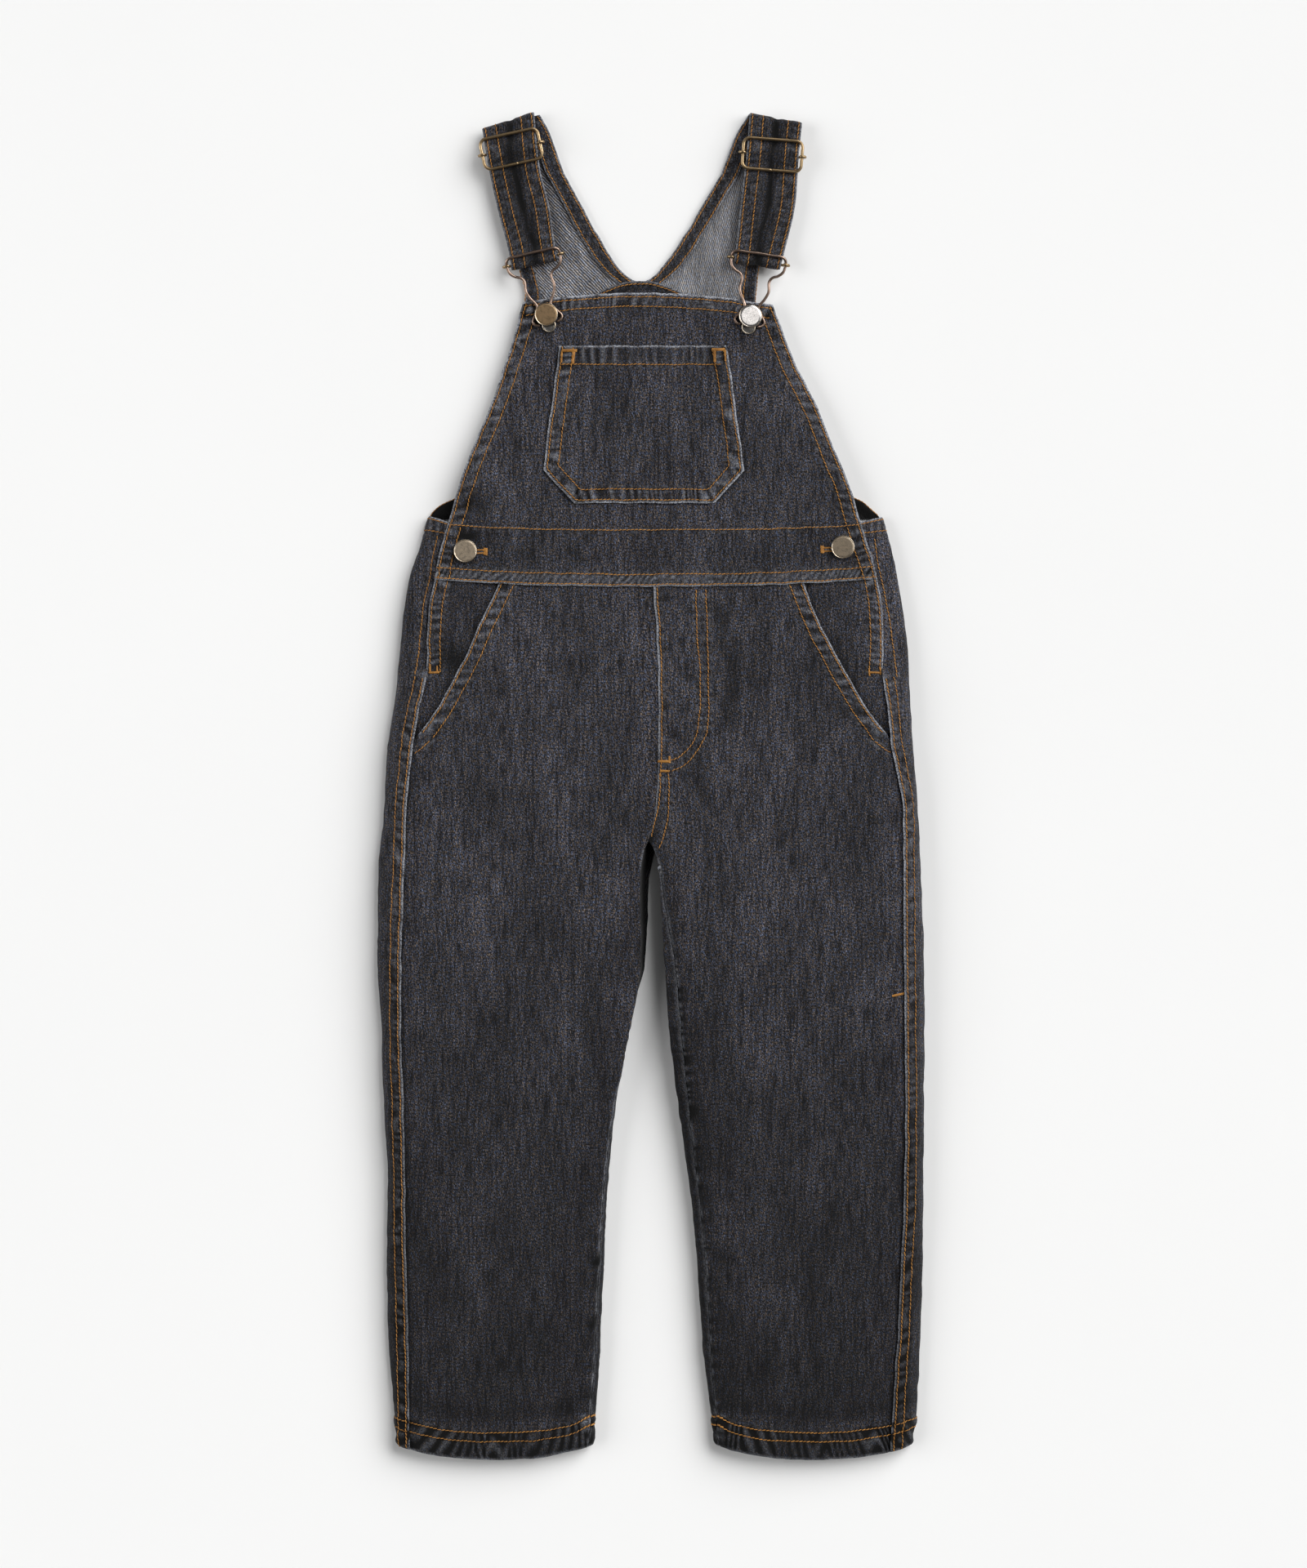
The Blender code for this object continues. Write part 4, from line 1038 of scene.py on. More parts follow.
def patina():
    """Uneven tone of handled metal."""
    net = group(
        "Patina",
        (
            ("Place", "Vector", None), ("Bright", "Color", (0.5, 0.4, 0.3, 1)),
            ("Dull", "Color", (0.2, 0.15, 0.1, 1)), ("Fineness", "Float", 400.0),
        ),
        (("Color", "Color"), ("Roughness", "Float"), ("Height", "Float")),
    )
    i = net.ins
    cloud = net.ramp(net.noise(i["Place"], i["Fineness"], 5.0, 0.65), 0.32, 0.68)
    specks = net.ramp(net.noise(i["Place"], 2600.0, 2.0), 0.62, 0.7)
    dull = net.math("MULTIPLY_ADD", specks, 0.3, cloud, clamp=True)
    net.put(net.outs["Color"], net.blend(dull, i["Bright"], i["Dull"]))
    net.put(net.outs["Roughness"], net.ramp(cloud, 0.0, 1.0, 0.24, 0.46))
    net.put(net.outs["Height"], net.math("ADD", cloud, specks))
    return net.tree


def start_finish(name, roughness, metallic=0.0):
    finish = bpy.data.materials.new(name)
    finish.use_nodes = True
    net = Net(finish.node_tree)
    shader = finish.node_tree.nodes["Principled BSDF"]
    shader.inputs["Roughness"].default_value = roughness
    shader.inputs["Metallic"].default_value = metallic
    return finish, net, shader


def relief(net, shader, strength, depth, height):
    """Fine relief that only turns the shading."""
    values = {"Strength": strength, "Distance": depth, "Height": height}
    net.put(shader.inputs["Normal"], net.add("Bump", values))


def use(net, tree, **values):
    node = net.tree.nodes.new("ShaderNodeGroup")
    node.node_tree = tree
    for key, value in values.items():
        net.put(node.inputs[key.replace("_", " ")], value)
    return node.outputs


def denim(name, dark, mid, paled, lean, pitch, contrast, heather, tinted=1.0, bump=0.7):
    finish, net, shader = start_finish(name, 0.93)
    grain = net.add("UVMap", uv_map="grain")
    place = net.add("TexCoord", out=3)
    # Wear with painted highlights, and painted shade with darker tone, come in from the mesh attributes.
    worn = net.add("Attribute", out=2, attribute_name="worn")
    dusk = net.add("Attribute", out=2, attribute_name="dusk")
    weave = use(net, TWILL, Grain=grain, Lean=lean, Pitch=pitch)
    colour = use(
        net, DENIM_COLOUR, Dark=(*dark, 1), Mid=(*mid, 1), Rubbed=(*paled, 1),
        **{label: weave[label] for label in ("Ribs", "Streaks", "Floats", "Tint")},
        Worn=worn, Dusk=dusk, Place=place, Rib_contrast=contrast, Heather=heather, Tinted=tinted,
    )
    net.put(shader.inputs["Base Color"], colour["Color"])
    net.put(shader.inputs["Roughness"], colour["Roughness"])
    shader.inputs["Specular IOR Level"].default_value = 0.2
    shader.inputs["Sheen Weight"].default_value = 0.06
    shader.inputs["Sheen Roughness"].default_value = 0.6
    relief(net, shader, bump, 0.00022, weave["Height"])
    return finish


def thread_finish():
    finish, net, shader = start_finish("orange_thread", 0.62)
    place = net.add("TexCoord", out=3)
    twist = net.noise(place, 2400.0, 2.0, 0.6)
    tone = net.ramp(net.noise(place, 260.0, 3.0), 0.3, 0.7)
    colour = net.blend(tone, (0.26, 0.114, 0.019, 1), (0.49, 0.228, 0.043, 1))
    colour = net.blend(net.ramp(twist, 0.35, 0.65, 0.0, 0.35), colour, (0.20, 0.075, 0.02, 1))
    net.put(shader.inputs["Base Color"], colour)
    shader.inputs["Specular IOR Level"].default_value = 0.35
    relief(net, shader, 0.5, 0.0001, twist)
    return finish


def metal(name, bright, dull, fineness=400.0, matt=1.0, bump=0.15):
    finish, net, shader = start_finish(name, 0.35, 1.0)
    place = net.add("TexCoord", out=3)
    tone = use(net, PATINA, Place=place, Bright=(*bright, 1), Dull=(*dull, 1), Fineness=fineness)
    net.put(shader.inputs["Base Color"], tone["Color"])
    net.put(shader.inputs["Roughness"], net.math("MULTIPLY", tone["Roughness"], matt))
    relief(net, shader, bump, 0.0001, tone["Height"])
    return finish


def floor_finish():
    finish, net, shader = start_finish("pale_floor", 0.9)
    place = net.add("TexCoord", out=3)
    colour = net.blend(net.noise(place, 3.0, 3.0), (0.90, 0.90, 0.895, 1), (0.93, 0.93, 0.925, 1))
    net.put(shader.inputs["Base Color"], colour)
    shader.inputs["Specular IOR Level"].default_value = 0.1
    return finish


TWILL = twill_weave()
DENIM_COLOUR = denim_colour()
PATINA = patina()
DENIM = denim("dark_denim", (0.0080, 0.0078, 0.0095), (0.0595, 0.0584, 0.0662), (0.34, 0.355, 0.395),
              -0.3, 0.0011, 0.60, 3.2)
DENIM_INSIDE = denim("denim_wrong_side", (0.10, 0.10, 0.107), (0.25, 0.25, 0.26), (0.40, 0.405, 0.42),
                     -0.27, 0.00115, 1.85, 0.8, tinted=0.45)
THREAD = thread_finish()
BRASS = metal("slider_brass", (0.46, 0.335, 0.19), (0.23, 0.158, 0.085), 300.0)
HOOK_METAL = metal("hook_copper_wire", (0.40, 0.295, 0.235), (0.19, 0.130, 0.102), 300.0)
BUTTON_METAL = metal("button_antique_brass", (0.56, 0.465, 0.355), (0.36, 0.290, 0.210), 500.0, matt=1.35)
OLD_METAL = metal("button_aged_brass", (0.43, 0.355, 0.265), (0.27, 0.215, 0.155), 500.0, matt=1.35)
# The right bib button's face: the same brass as the left one, painted near white for its reflection.
REFLECTION_PAINTED_METAL = metal("button_face_painted_reflection", (0.88, 0.84, 0.81), (0.80, 0.76, 0.73), 260.0, matt=0.4)
BROWN_METAL = metal("button_brown_brass", (0.42, 0.290, 0.165), (0.27, 0.180, 0.100), 500.0, matt=1.35)
RIM_METAL = metal("button_rim", (0.58, 0.51, 0.41), (0.28, 0.23, 0.17), 500.0)
PLATE_METAL = metal("plate_grey_brass", (0.34, 0.33, 0.31), (0.20, 0.19, 0.18), 600.0)


# ---------------------------------------------------------------- cloth pieces

def heights(*stops):
    """Heights from top to foot, given as (height, step from here on)."""
    parts = []
    for (y0, step), (y1, _) in zip(stops, stops[1:]):
        parts.append(np.linspace(y0, y1, max(2, round((y0 - y1) / step)), endpoint=False))
    return np.concatenate(parts + [[stops[-1][0]]])[:, None]


def along_ring(b, rings):
    """How far along the ring's own outline each place is, row by row."""
    across, z = flat_place(b, np.minimum(rings, RING_END))
    step = np.hypot(np.diff(across, axis=1), np.diff(z, axis=1))
    return np.concatenate((np.zeros((len(step), 1)), np.cumsum(step, axis=1)), axis=1)


def rings_between(b, first, last, shares):
    """Places on the ring at these shares of the distance from first to last, row by row."""
    fine = first + (last - first) * np.linspace(0, 1, 160)
    arc = along_ring(b, fine)
    arc /= arc[:, -1:]
    return np.array([np.interp(shares, a, f) for a, f in zip(arc, fine)])


def body_cloth(b, rings, lift=0.0, fold_column=None):
    """Cloth along the body's ring, its pattern flattened from the ring's real length."""
    x, z = ring_point(b, rings, lift)
    y = dipped(b, x)
    arc = along_ring(b, rings)
    if fold_column is None:
        start = np.array([[np.interp(1.5, r, a)] for r, a in zip(rings, arc)])
        anchor, _ = flat_place(b, np.full_like(b.fold, 1.5))
        u = b.fold - b.side * (anchor + arc - start)
    else:
        u = b.fold + b.side * (arc - arc[:, fold_column:fold_column + 1])
    return Cloth(x, y, z, pattern=np.stack((u, y), -1))


def laid(x, y, lift=0.0):
    return Cloth(x, y, front(x, y, lift))


def line_of(table, name, y, shift=0.0):
    """A line along one measure of a table."""
    return np.column_stack((table(name, y) + shift, y))


def from_last_edge(cloth):
    """How far each point of the pattern is from its last edge, across."""
    return np.abs(cloth.pattern[..., 0] - cloth.pattern[:, -1:, 0])


def above(path, y):
    return path[path[:, 1] > y]


def below(path, y):
    return path[path[:, 1] < y]


def under(cloth, *points):
    """Pattern places of a smooth line given as seen from above."""
    line = curve(*points)
    faces = grid_triangles(*cloth.base.shape[:2])
    points = cloth.base.reshape(-1, 3)
    tree = BVHTree.FromPolygons(points.tolist(), faces.tolist())
    spots, hit = [], []
    for x, y in line:
        found = tree.ray_cast((x, y, RAY_FROM), (0, 0, -1))
        if found[0] is None:
            found = tree.find_nearest((x, y, FRONT_ABOUT))
        spots.append(found[0][:2])
        hit.append(found[2])
    face = faces[hit]
    weights = barycentric(points[:, :2], face, np.array(spots))
    return (cloth.pattern.reshape(-1, 2)[face] * weights).sum(1)


def sew_seen(cloth, *lines):
    """Rows of stitches along lines seen from above."""
    for line in lines:
        cloth.sew(under(cloth, *line))


def tack(cloth, width, *points):
    """A bar of close satin stitches this wide, along a line seen from above."""
    cloth.rows.append((under(cloth, *points), str(width)))
    away, _ = nearest_on(cloth.rows[-1][0], cloth.pattern)
    cloth.rise -= 0.2 * bump_at(away, 1.2)
    # Painted shade around the bar.
    cloth.dusk += 0.25 * bump_at(away, 1.6)


def tacks(cloth, *bars):
    """Several bars, each given as (width, start, end)."""
    for width, start, end in bars:
        tack(cloth, width, start, end)


def faded_high(cloth, strength=0.32):
    """The high places of the soft creases are paler and the troughs darker: painted highlight and painted
    shade, with the paler wash of the high places.
    """
    cloth.dusk -= strength * lie(cloth.base[..., 0], cloth.base[..., 1])


def darker_down(cloth, strength=0.75):
    """The cloth is a little darker towards the hems."""
    cloth.dusk += strength * ease((40 - cloth.base[..., 1]) / 420)


def inner_shade(cloth, y, strength, width):
    """Painted shade along a leg's inner edge, from the crotch down, unevenly wide."""
    width = width + 3.0 * ragged(y, 30.0, 95)
    shaded = ease((y - 12) / -55) * (1 - 0.75 * ease((y + 150) / -170))
    cloth.dusk += strength * shaded * bump_at(from_last_edge(cloth), width)


SIDE_SEAM_ROW = {
    LEFT: ((-130.2, 153.0), (-133.2, 138.8), (-135.3, 125.3), (-138.3, 112.3), (-140.2, 97),
           (-141.3, 83.3), (-144.0, 66.3)),
    RIGHT: ((136.3, 151), (138.0, 138), (142.0, 121), (144.8, 105), (148.2, 80), (150.2, 64)),
}
POCKET_END_ROW = {
    LEFT: ((-134.4, 27.0), (-140.0, 22.4), (-146.0, 18.6)),
    RIGHT: ((136.4, 27.6), (141.6, 23.4), (148.0, 19.4)),
}
FLY_ROWS = (
    ((27.5, 120), (28.0, 92.8), (30.0, 68.8), (29.5, 44.3), (26.5, 28.8), (18.0, 18.8), (11.0, 15.3)),
    ((33.5, 120), (34.8, 68.8), (34.8, 38.3), (31.0, 26.3), (21.5, 14.0), (11.8, 8.8)),
)
CROTCH_ROWS = (
    ((5.8, 7.8), (5.0, -10.3), (-0.3, -32.0)),
    ((11.0, 7.8), (10.5, -16.3), (7.5, -30.8), (4.8, -38.0)),
)
TROUSER_HEM = dict(fold=HEM_ROWS[-1], pucker=0.34, period=6.5, worn=0.8, ridge=0.30)


def back_leg(side):
    name = side_name(side)
    y = heights((163, 1.3), (150, 1.9), (72, 1.3), (60, 1.9), (-30, 1.0), (-36, 1.9), (-345, 1.2), (HEM_Y, 1))
    b = body(side, y)
    edge = np.abs(OUTLINE(f"edge_{name}", y) - b.fold)
    opened = ease((y - SIDE_OPENING_FOOT) / OPENING_STEP - 1)
    beside = y >= SIDE_OPENING_FOOT
    end = np.where(beside, edge + mix(0.8, BACK_UNDER, opened), edge + 0.8)
    lifted_at = np.where(beside, edge - 1, edge - UNDER_LAP - GAP)
    lap_rings = rings_between(b, ring_of(b, end), 0 * end, np.linspace(0, 1, LAP_COLUMNS))
    across, _ = flat_place(b, lap_rings)
    lift = LAP * (1 - 2 * ease((y - SIDE_OPENING_FOOT + 2) / 9)) * ease(across / lifted_at)
    knee = np.where(y <= CROTCH_Y, 4.0, 4.03)
    stop = np.where(y <= CROTCH_Y, inseam_ring(b, SEAM_CLEAR), 4.0)
    wrap = 6 - np.linspace(0, 1, 8)[1:]
    flat = mix(5.0, knee, spaced(22, 0.4)[1:])
    rest = mix(knee, stop, np.linspace(0, 1, 12)[1:])
    rings = np.concatenate((lap_rings, np.broadcast_to(wrap, (len(y), 7)), flat, rest), axis=1)
    lift = np.concatenate((lift, np.zeros((len(y), rings.shape[1] - LAP_COLUMNS))), axis=1)
    cloth = body_cloth(b, rings, lift, fold_column=LAP_COLUMNS - 1)
    x0, slope = (-129.5, -0.38) if side == LEFT else (135.0, 0.27)
    cloth.base[..., 1] += np.clip(slope * (cloth.base[..., 0] - x0), -2.3, 2.3) * ease((y - 146) / 17)
    darker_down(cloth)
    lap = below(cloth.edge("first"), SIDE_OPENING_FOOT - 1)
    cloth.sewn_edge(lap, (1.9, 6.8), fold=7.0, pucker=0.26, period=7.5, slant=0.5, worn=0.8, seed=side)
    cloth.sewn_edge(cloth.edge("top"), (1.6, 8.0), fold=8.0, pucker=0.25, period=6.0, worn=0.9, seed=3)
    cloth.hem_rows(HEM_ROWS, slant=0.4, seed=5, **TROUSER_HEM)
    cloth.edge_finish(below(cloth.edge("last"), CROTCH_Y), fold=5.0, pucker=0.08, period=8.0, worn=0.3,
                      raised=0.15, seed=7)
    inner_shade(cloth, y, 0.6 if side == RIGHT else 0.4, 12.0)
    # Painted shade on the leg's inner wall below the crotch.
    on_wall = (rings > 3.1) & (rings < 4.6)
    cloth.dusk += ease((cloth.base[..., 1] + 150) / 50) * ease((CROTCH_Y + 3 - y) / 4) * on_wall
    sew_seen(cloth, SIDE_SEAM_ROW[side])
    cloth.rise = np.where(cloth.base[..., 2] < 0.05, np.minimum(cloth.rise, 0), cloth.rise)
    return finish_cloth(f"back_leg_{name}", cloth, up=(0, 0, -1), rests_on=["floor"])


# Places of painted shade on the fly.
FLY_SHADE_SPOTS = (  # x, y and half width of the darker places between the fly's layers
    (9.5, 114, 5), (9.5, 84, 4), (18.5, 88, 3), (24.0, 66, 3.5),
    (10.0, 49, 3.5), (20.0, 47, 3), (14.0, 31, 4), (23.5, 106, 3),
)


def fly(cloth):
    """The stitched fly front: its layers stand up a little, with painted shade in places between them and a
    painted highlight just below each.
    """
    away, _ = nearest_on(curve((31, 120), (31, 60), (27, 28), (12, 11)), cloth.pattern)
    cloth.rise += 0.35 * bump_at(away, 9.0) * ease(cloth.base[..., 1] / 20)
    for x, y, width in FLY_SHADE_SPOTS:
        # Painted shade, then a painted highlight just below it.
        cloth.patch(x, y, width, 2.4, dusk=0.8)
        cloth.patch(x + 1.0, y - 5.0, width, 1.8, dusk=-0.35)


def front_leg(side):
    name = side_name(side)
    y = heights((130, 1.7), (24, 1.3), (16, 1.7), (-345, 1.15), (HEM_Y, 1))
    b = body(side, y)
    edge = np.abs(OUTLINE(f"edge_{name}", y) - b.fold)
    slant = np.abs(POCKET_EDGE(name, y) - b.fold)
    start = np.where(y > POCKET_FOOT, slant, edge) - UNDER_LAP * ease((POCKET_FOOT + 2 - y) / 6)
    stop = np.where(y <= CROTCH_Y, inseam_ring(b, -SEAM_CLEAR), 3.0)
    rings = rings_between(b, ring_of(b, start), stop, spaced(102, 0.5))
    cloth = body_cloth(b, rings)
    darker_down(cloth)
    faded_high(cloth)
    inner = cloth.edge("last")
    fades = ease((y + 33) / 14)
    if side == RIGHT:
        cloth.rise += 0.75 * ease(1 - from_last_edge(cloth) / 12) * fades
    else:
        sunk = ease(1 - from_last_edge(cloth) / 9) * fades
        cloth.base[..., 0] += 2.3 * sunk
        cloth.rise -= 0.6 * sunk
    lap_y = np.linspace(SIDE_OPENING_FOOT - 6, HEM_Y, 60)
    cloth.shade_beside(line_of(OUTLINE, f"edge_{name}", lap_y), 0.45, 1.5)
    slanted = above(cloth.edge("first"), POCKET_FOOT + 0.5)
    cloth.sewn_edge(slanted, (1.6, 8.3), fold=8.6, pucker=0.30, period=7.0, slant=0.5, worn=0.66, seed=11,
                    until=POCKET_FOOT)
    sew_seen(cloth, POCKET_END_ROW[side])
    cloth.hem_rows(HEM_ROWS, slant=-0.4, seed=13 + side, **TROUSER_HEM)
    cloth.gathers(cloth.edge("top"), 9.0, 14.0, 0.30, 97 + side)
    cloth.edge_finish(below(inner, CROTCH_Y), worn=0.42, seed=17 + side)
    cloth.gathers(below(inner, CROTCH_Y - 70), 11.0, 4.5, 0.42, 18 + side)
    centre = above(inner, CROTCH_Y + 8)
    if side == RIGHT:
        cloth.edge_finish(above(inner, CROTCH_Y + 2), fold=2.5, pucker=0.2, period=8.0, worn=0.9,
                          raised=0.1, seed=19)
        cloth.sew(cloth.inset(centre, 2.0, (2.0, 26.0)))
        sew_seen(cloth, *FLY_ROWS, *CROTCH_ROWS)
        tacks(
            cloth,
            (1.6, (4.6, 14.8), (11.2, 14.8)),
            (1.2, (11.3, 17.8), (11.3, 13.9)),
            (1.4, (6.2, 9.0), (11.2, 9.0)),
            (1.5, (146.8, -127.8), (154.0, -126.3)),
        )
        fly(cloth)
        # Painted shade along the fold beside the fly and the creases below it, and a painted highlight band
        # beside them.
        cloth.shade_beside(curve((41, 108), (43, 90), (49, 72), (46, 40)), 0.62, 4.5)
        cloth.shade_beside(curve((53, 88), (56, 76), (62, 62)), 0.45, 3.0)
        cloth.shade_beside(curve((56, 100), (59, 72), (60, 40)), -0.15, 6.0)
        inner_shade(cloth, y, 0.75, 9.0)
        # Painted shade in the crease at the pocket's foot.
        cloth.patch(137.0, -21.5, 9.0, 2.2, dusk=0.5)
    else:
        cloth.edge_finish(above(inner, CROTCH_Y + 2), worn=0.2, seed=23)
        # Painted shade in the two crease troughs low on the leg.
        cloth.patch(-33.0, -291.0, 4.0, 4.0, dusk=0.35)
        cloth.patch(-35.0, -329.0, 4.5, 4.0, dusk=0.35)
    return finish_cloth(f"front_leg_{name}", cloth, rests_on=[f"back_leg_{name}_cloth"])


def pocket_facing(side):
    name = side_name(side)
    y = heights((129, 1.2), (24, 1))
    edge = OUTLINE(f"edge_{name}", y)
    outer = edge + side * UNDER_LAP * ease((SIDE_OPENING_FOOT - 4 - y) / 6)
    slant = POCKET_EDGE(name, y)
    x = mix(outer, slant - side * FACING_REACH, spaced(44, 0.45))
    rise = ease(side * (x - slant) / 18) * ease((y - FACING_FOOT) / 15)
    cloth = laid(x, y, -LAP * (1 - rise))
    faded_high(cloth)
    opening = above(cloth.edge("first"), SIDE_OPENING_FOOT)
    cloth.sewn_edge(opening, (1.8, 7.9), fold=8.0, pucker=0.28, period=7.0, slant=0.4, worn=0.6, seed=29,
                    until=SIDE_OPENING_FOOT)
    # Painted shadow beside the slanted pocket edge that laps over the facing.
    away, _ = nearest_on(line_of(POCKET_EDGE, name, y[:, 0]), cloth.pattern)
    cloth.dusk += 0.50 * bump_at(away, 6.0)
    if side == LEFT:
        tacks(
            cloth,
            (1.3, (-135.0, 69.2), (-129.2, 69.2)),
            (1.0, (-134.4, 74.2), (-134.4, 70.0)),
            (0.9, (-130.4, 73.0), (-130.4, 70.2)),
        )
        # Painted shade at the facing's lower corner.
        cloth.patch(-121.5, 79.0, 8.5, 11.0, dusk=0.95)
    else:
        tacks(
            cloth,
            (1.2, (132.8, 69.2), (140.2, 68.8)),
            (0.8, (133.0, 71.4), (133.0, 67.4)),
            (0.8, (139.8, 72.0), (139.8, 68.0)),
        )
    return finish_cloth(f"pocket_facing_{name}", cloth, rests_on=[f"back_leg_{name}_cloth"])


def across_front(share, low, high, height):
    middle = (low(0) + high(0)) / 2
    x = mix(OUTLINE("edge_left", middle), OUTLINE("edge_right", middle), share)
    y = mix(low(x), high(x), height)
    return mix(OUTLINE("edge_left", y), OUTLINE("edge_right", y), share), y


def waistband_foot(x):
    return WAISTBAND_FOOT + FOOT_CURVE * np.abs(x / WAISTBAND_HALF) ** 2.5


def waistband_top(x):
    return WAISTBAND_TOP + TOP_CURVE * np.abs(x / WAISTBAND_HALF) ** 3


def bib_foot(x):
    return waistband_top(x) - BIB_UNDER


def bib_top(x):
    return BIB_TOP - BIB_CURVE * ((x - BIB_MIDDLE) / BIB_HALF) ** 2


def buttonhole(cloth, button_end, far_end, y):
    """Two sewn edges with a bar across the end away from the button."""
    cloth.patch((button_end + far_end) / 2, y, 2.6, 0.5, worn=1.2)
    for edge in (-1.0, 1.0):
        tack(cloth, 1.0, (button_end, y + edge), (far_end, y + edge))
    tack(cloth, 2.4, (far_end, y - 2.0), (far_end, y + 2.0))


def waistband():
    share, height = spaced(320, 0.15)[None, :], 1 - spaced(38, 0.35)[:, None]
    x, y = across_front(share, waistband_foot, waistband_top, height)
    cloth = laid(x, y, LAP - 0.15)
    faded_high(cloth)
    top, foot = cloth.edge("top"), cloth.edge("foot")
    cloth.edge_finish(top, fold=1.0, worn=0.06, raised=-0.2, seed=31)
    cloth.sew(cloth.inset(top, 1.0, (1.0, 1.0)))
    cloth.sewn_edge(foot, (1.2, 7.4), fold=7.6, pucker=0.30, period=4.6, slant=-0.9, worn=1.15,
                    ridge=0.12, seed=37)
    # A paler band between the foot rows: painted highlight on the doubled cloth's ridge, with some wear.
    from_foot, _ = nearest_on(foot, cloth.pattern)
    cloth.worn += 0.09 * bump_at(from_foot - 4.3, 3.0)
    cloth.dusk -= 0.25 * bump_at(from_foot - 4.3, 3.5)
    cloth.gathers(top, 8.0, 7.0, 0.2, 39)
    cloth.side_edges((2.0, 8.5), 41, 0, fold=8.6, pucker=0.25, period=7.0, worn=0.8)
    cloth.dusk += 0.25
    # Painted shade in the dark gap above the left button.
    cloth.patch(-111.0, 152.2, 7.0, 3.4, dusk=1.3)
    buttonhole(cloth, -107.0, -100.6, 142.7)
    buttonhole(cloth, 110.0, 104.0, 144.3)
    below_it = ["bib_cloth", "front_leg_left_cloth", "front_leg_right_cloth"]
    return finish_cloth("waistband", cloth, rests_on=below_it)


def pocket_corners():
    """The pocket's sides and foot as one line, from its top left corner to its top right."""
    return [(row[1], row[0]) for row in POCKET.rows[::-1]] + [(row[2], row[0]) for row in POCKET.rows]


def bib():
    share, height = spaced(190, 0.4)[None, :], 1 - spaced(96, 0.5)[:, None]
    x, y = across_front(share, bib_foot, bib_top, height)
    cloth = laid(x, y)
    faded_high(cloth)
    cloth.dusk -= 0.10
    # Painted shade at the bib's lower corners.
    cloth.patch(-107.0, 171.0, 13.0, 14.0, dusk=0.75)
    cloth.patch(113.0, 171.0, 10.0, 12.0, dusk=0.35)
    across = np.linspace(-WAISTBAND_HALF, WAISTBAND_HALF, 60)
    cloth.shade_beside(np.column_stack((across, waistband_top(across) + 0.6)), 0.35, 1.2)
    pocket = pocket_corners()
    cloth.shade_beside(np.array(pocket + pocket[:1]), 0.45, 1.5)
    cloth.sewn_edge(cloth.edge("top"), (2.6, 8.4), fold=8.6, pucker=0.32, period=5.8, slant=0.3, worn=0.9,
                    seed=43)
    cloth.gathers(np.column_stack((across, waistband_top(across))), 8.5, 9.0, 0.18, 45)
    cloth.side_edges((2.0, 8.5), 47, fold=8.8, pucker=0.28, period=7.5, slant=0.5, worn=0.85)
    return finish_cloth("bib", cloth, rests_on=["back_bib_left_cloth", "back_bib_right_cloth"])


def bib_pocket():
    low, corner, high = POCKET.rows[0, 0], POCKET.rows[1, 0], POCKET.rows[-1, 0]
    sides, foot = mix(high, corner, spaced(62, 0.5)[:-1]), mix(corner, low, np.linspace(0, 1, 22))
    y = np.concatenate((sides, foot))[:, None]
    left, right = POCKET.straight("left", y), POCKET.straight("right", y)
    x = mix(left, right, spaced(140, 0.35))
    cloth = laid(x, y, LAP - 0.1)
    faded_high(cloth)
    cloth.side_edges((), 53, fold=8.8, pucker=0.28, period=8.5, slant=0.5, worn=0.8)
    cloth.edge_finish(cloth.edge("foot"), fold=8.8, pucker=0.30, period=5.3, slant=0.2, worn=0.85,
                      raised=0.0, seed=57)
    cloth.gathers(cloth.edge("foot"), 10.0, 16.0, 0.32, 58)
    for distance in (2.0, 8.5):
        cloth.sew(cloth.inset(np.array(pocket_corners()), distance))
    top = cloth.edge("top")
    cloth.edge_finish(top, fold=11.5, pucker=0.30, period=6.3, worn=0.55, raised=0.15, seed=59)
    cloth.sew(cloth.inset(top, 11.5, (1.0, 1.0)))
    tacks(
        cloth,
        (1.8, (-54.0, 265.6), (-45.4, 265.6)),
        (1.7, (-47.0, 264.8), (-48.0, 257.8)),
        (1.1, (-54.4, 264.8), (-54.9, 258.4)),
        (1.8, (37.3, 266.4), (44.6, 266.4)),
        (1.7, (39.0, 265.8), (39.0, 259.0)),
        (1.1, (45.0, 265.8), (45.4, 259.4)),
    )
    return finish_cloth("bib_pocket", cloth, rests_on=["bib_cloth"])


def to_shoulder(side, x, y):
    (x0, y0), (x1, y1) = SHOULDER[side]
    fold_y = mix(y0, y1, (x - x0) / (x1 - x0)) - GAP
    share = np.clip((y - SHOULDER_START) / (BACK_TOP - SHOULDER_START), 0, None)
    return y + (fold_y - BACK_TOP) * share


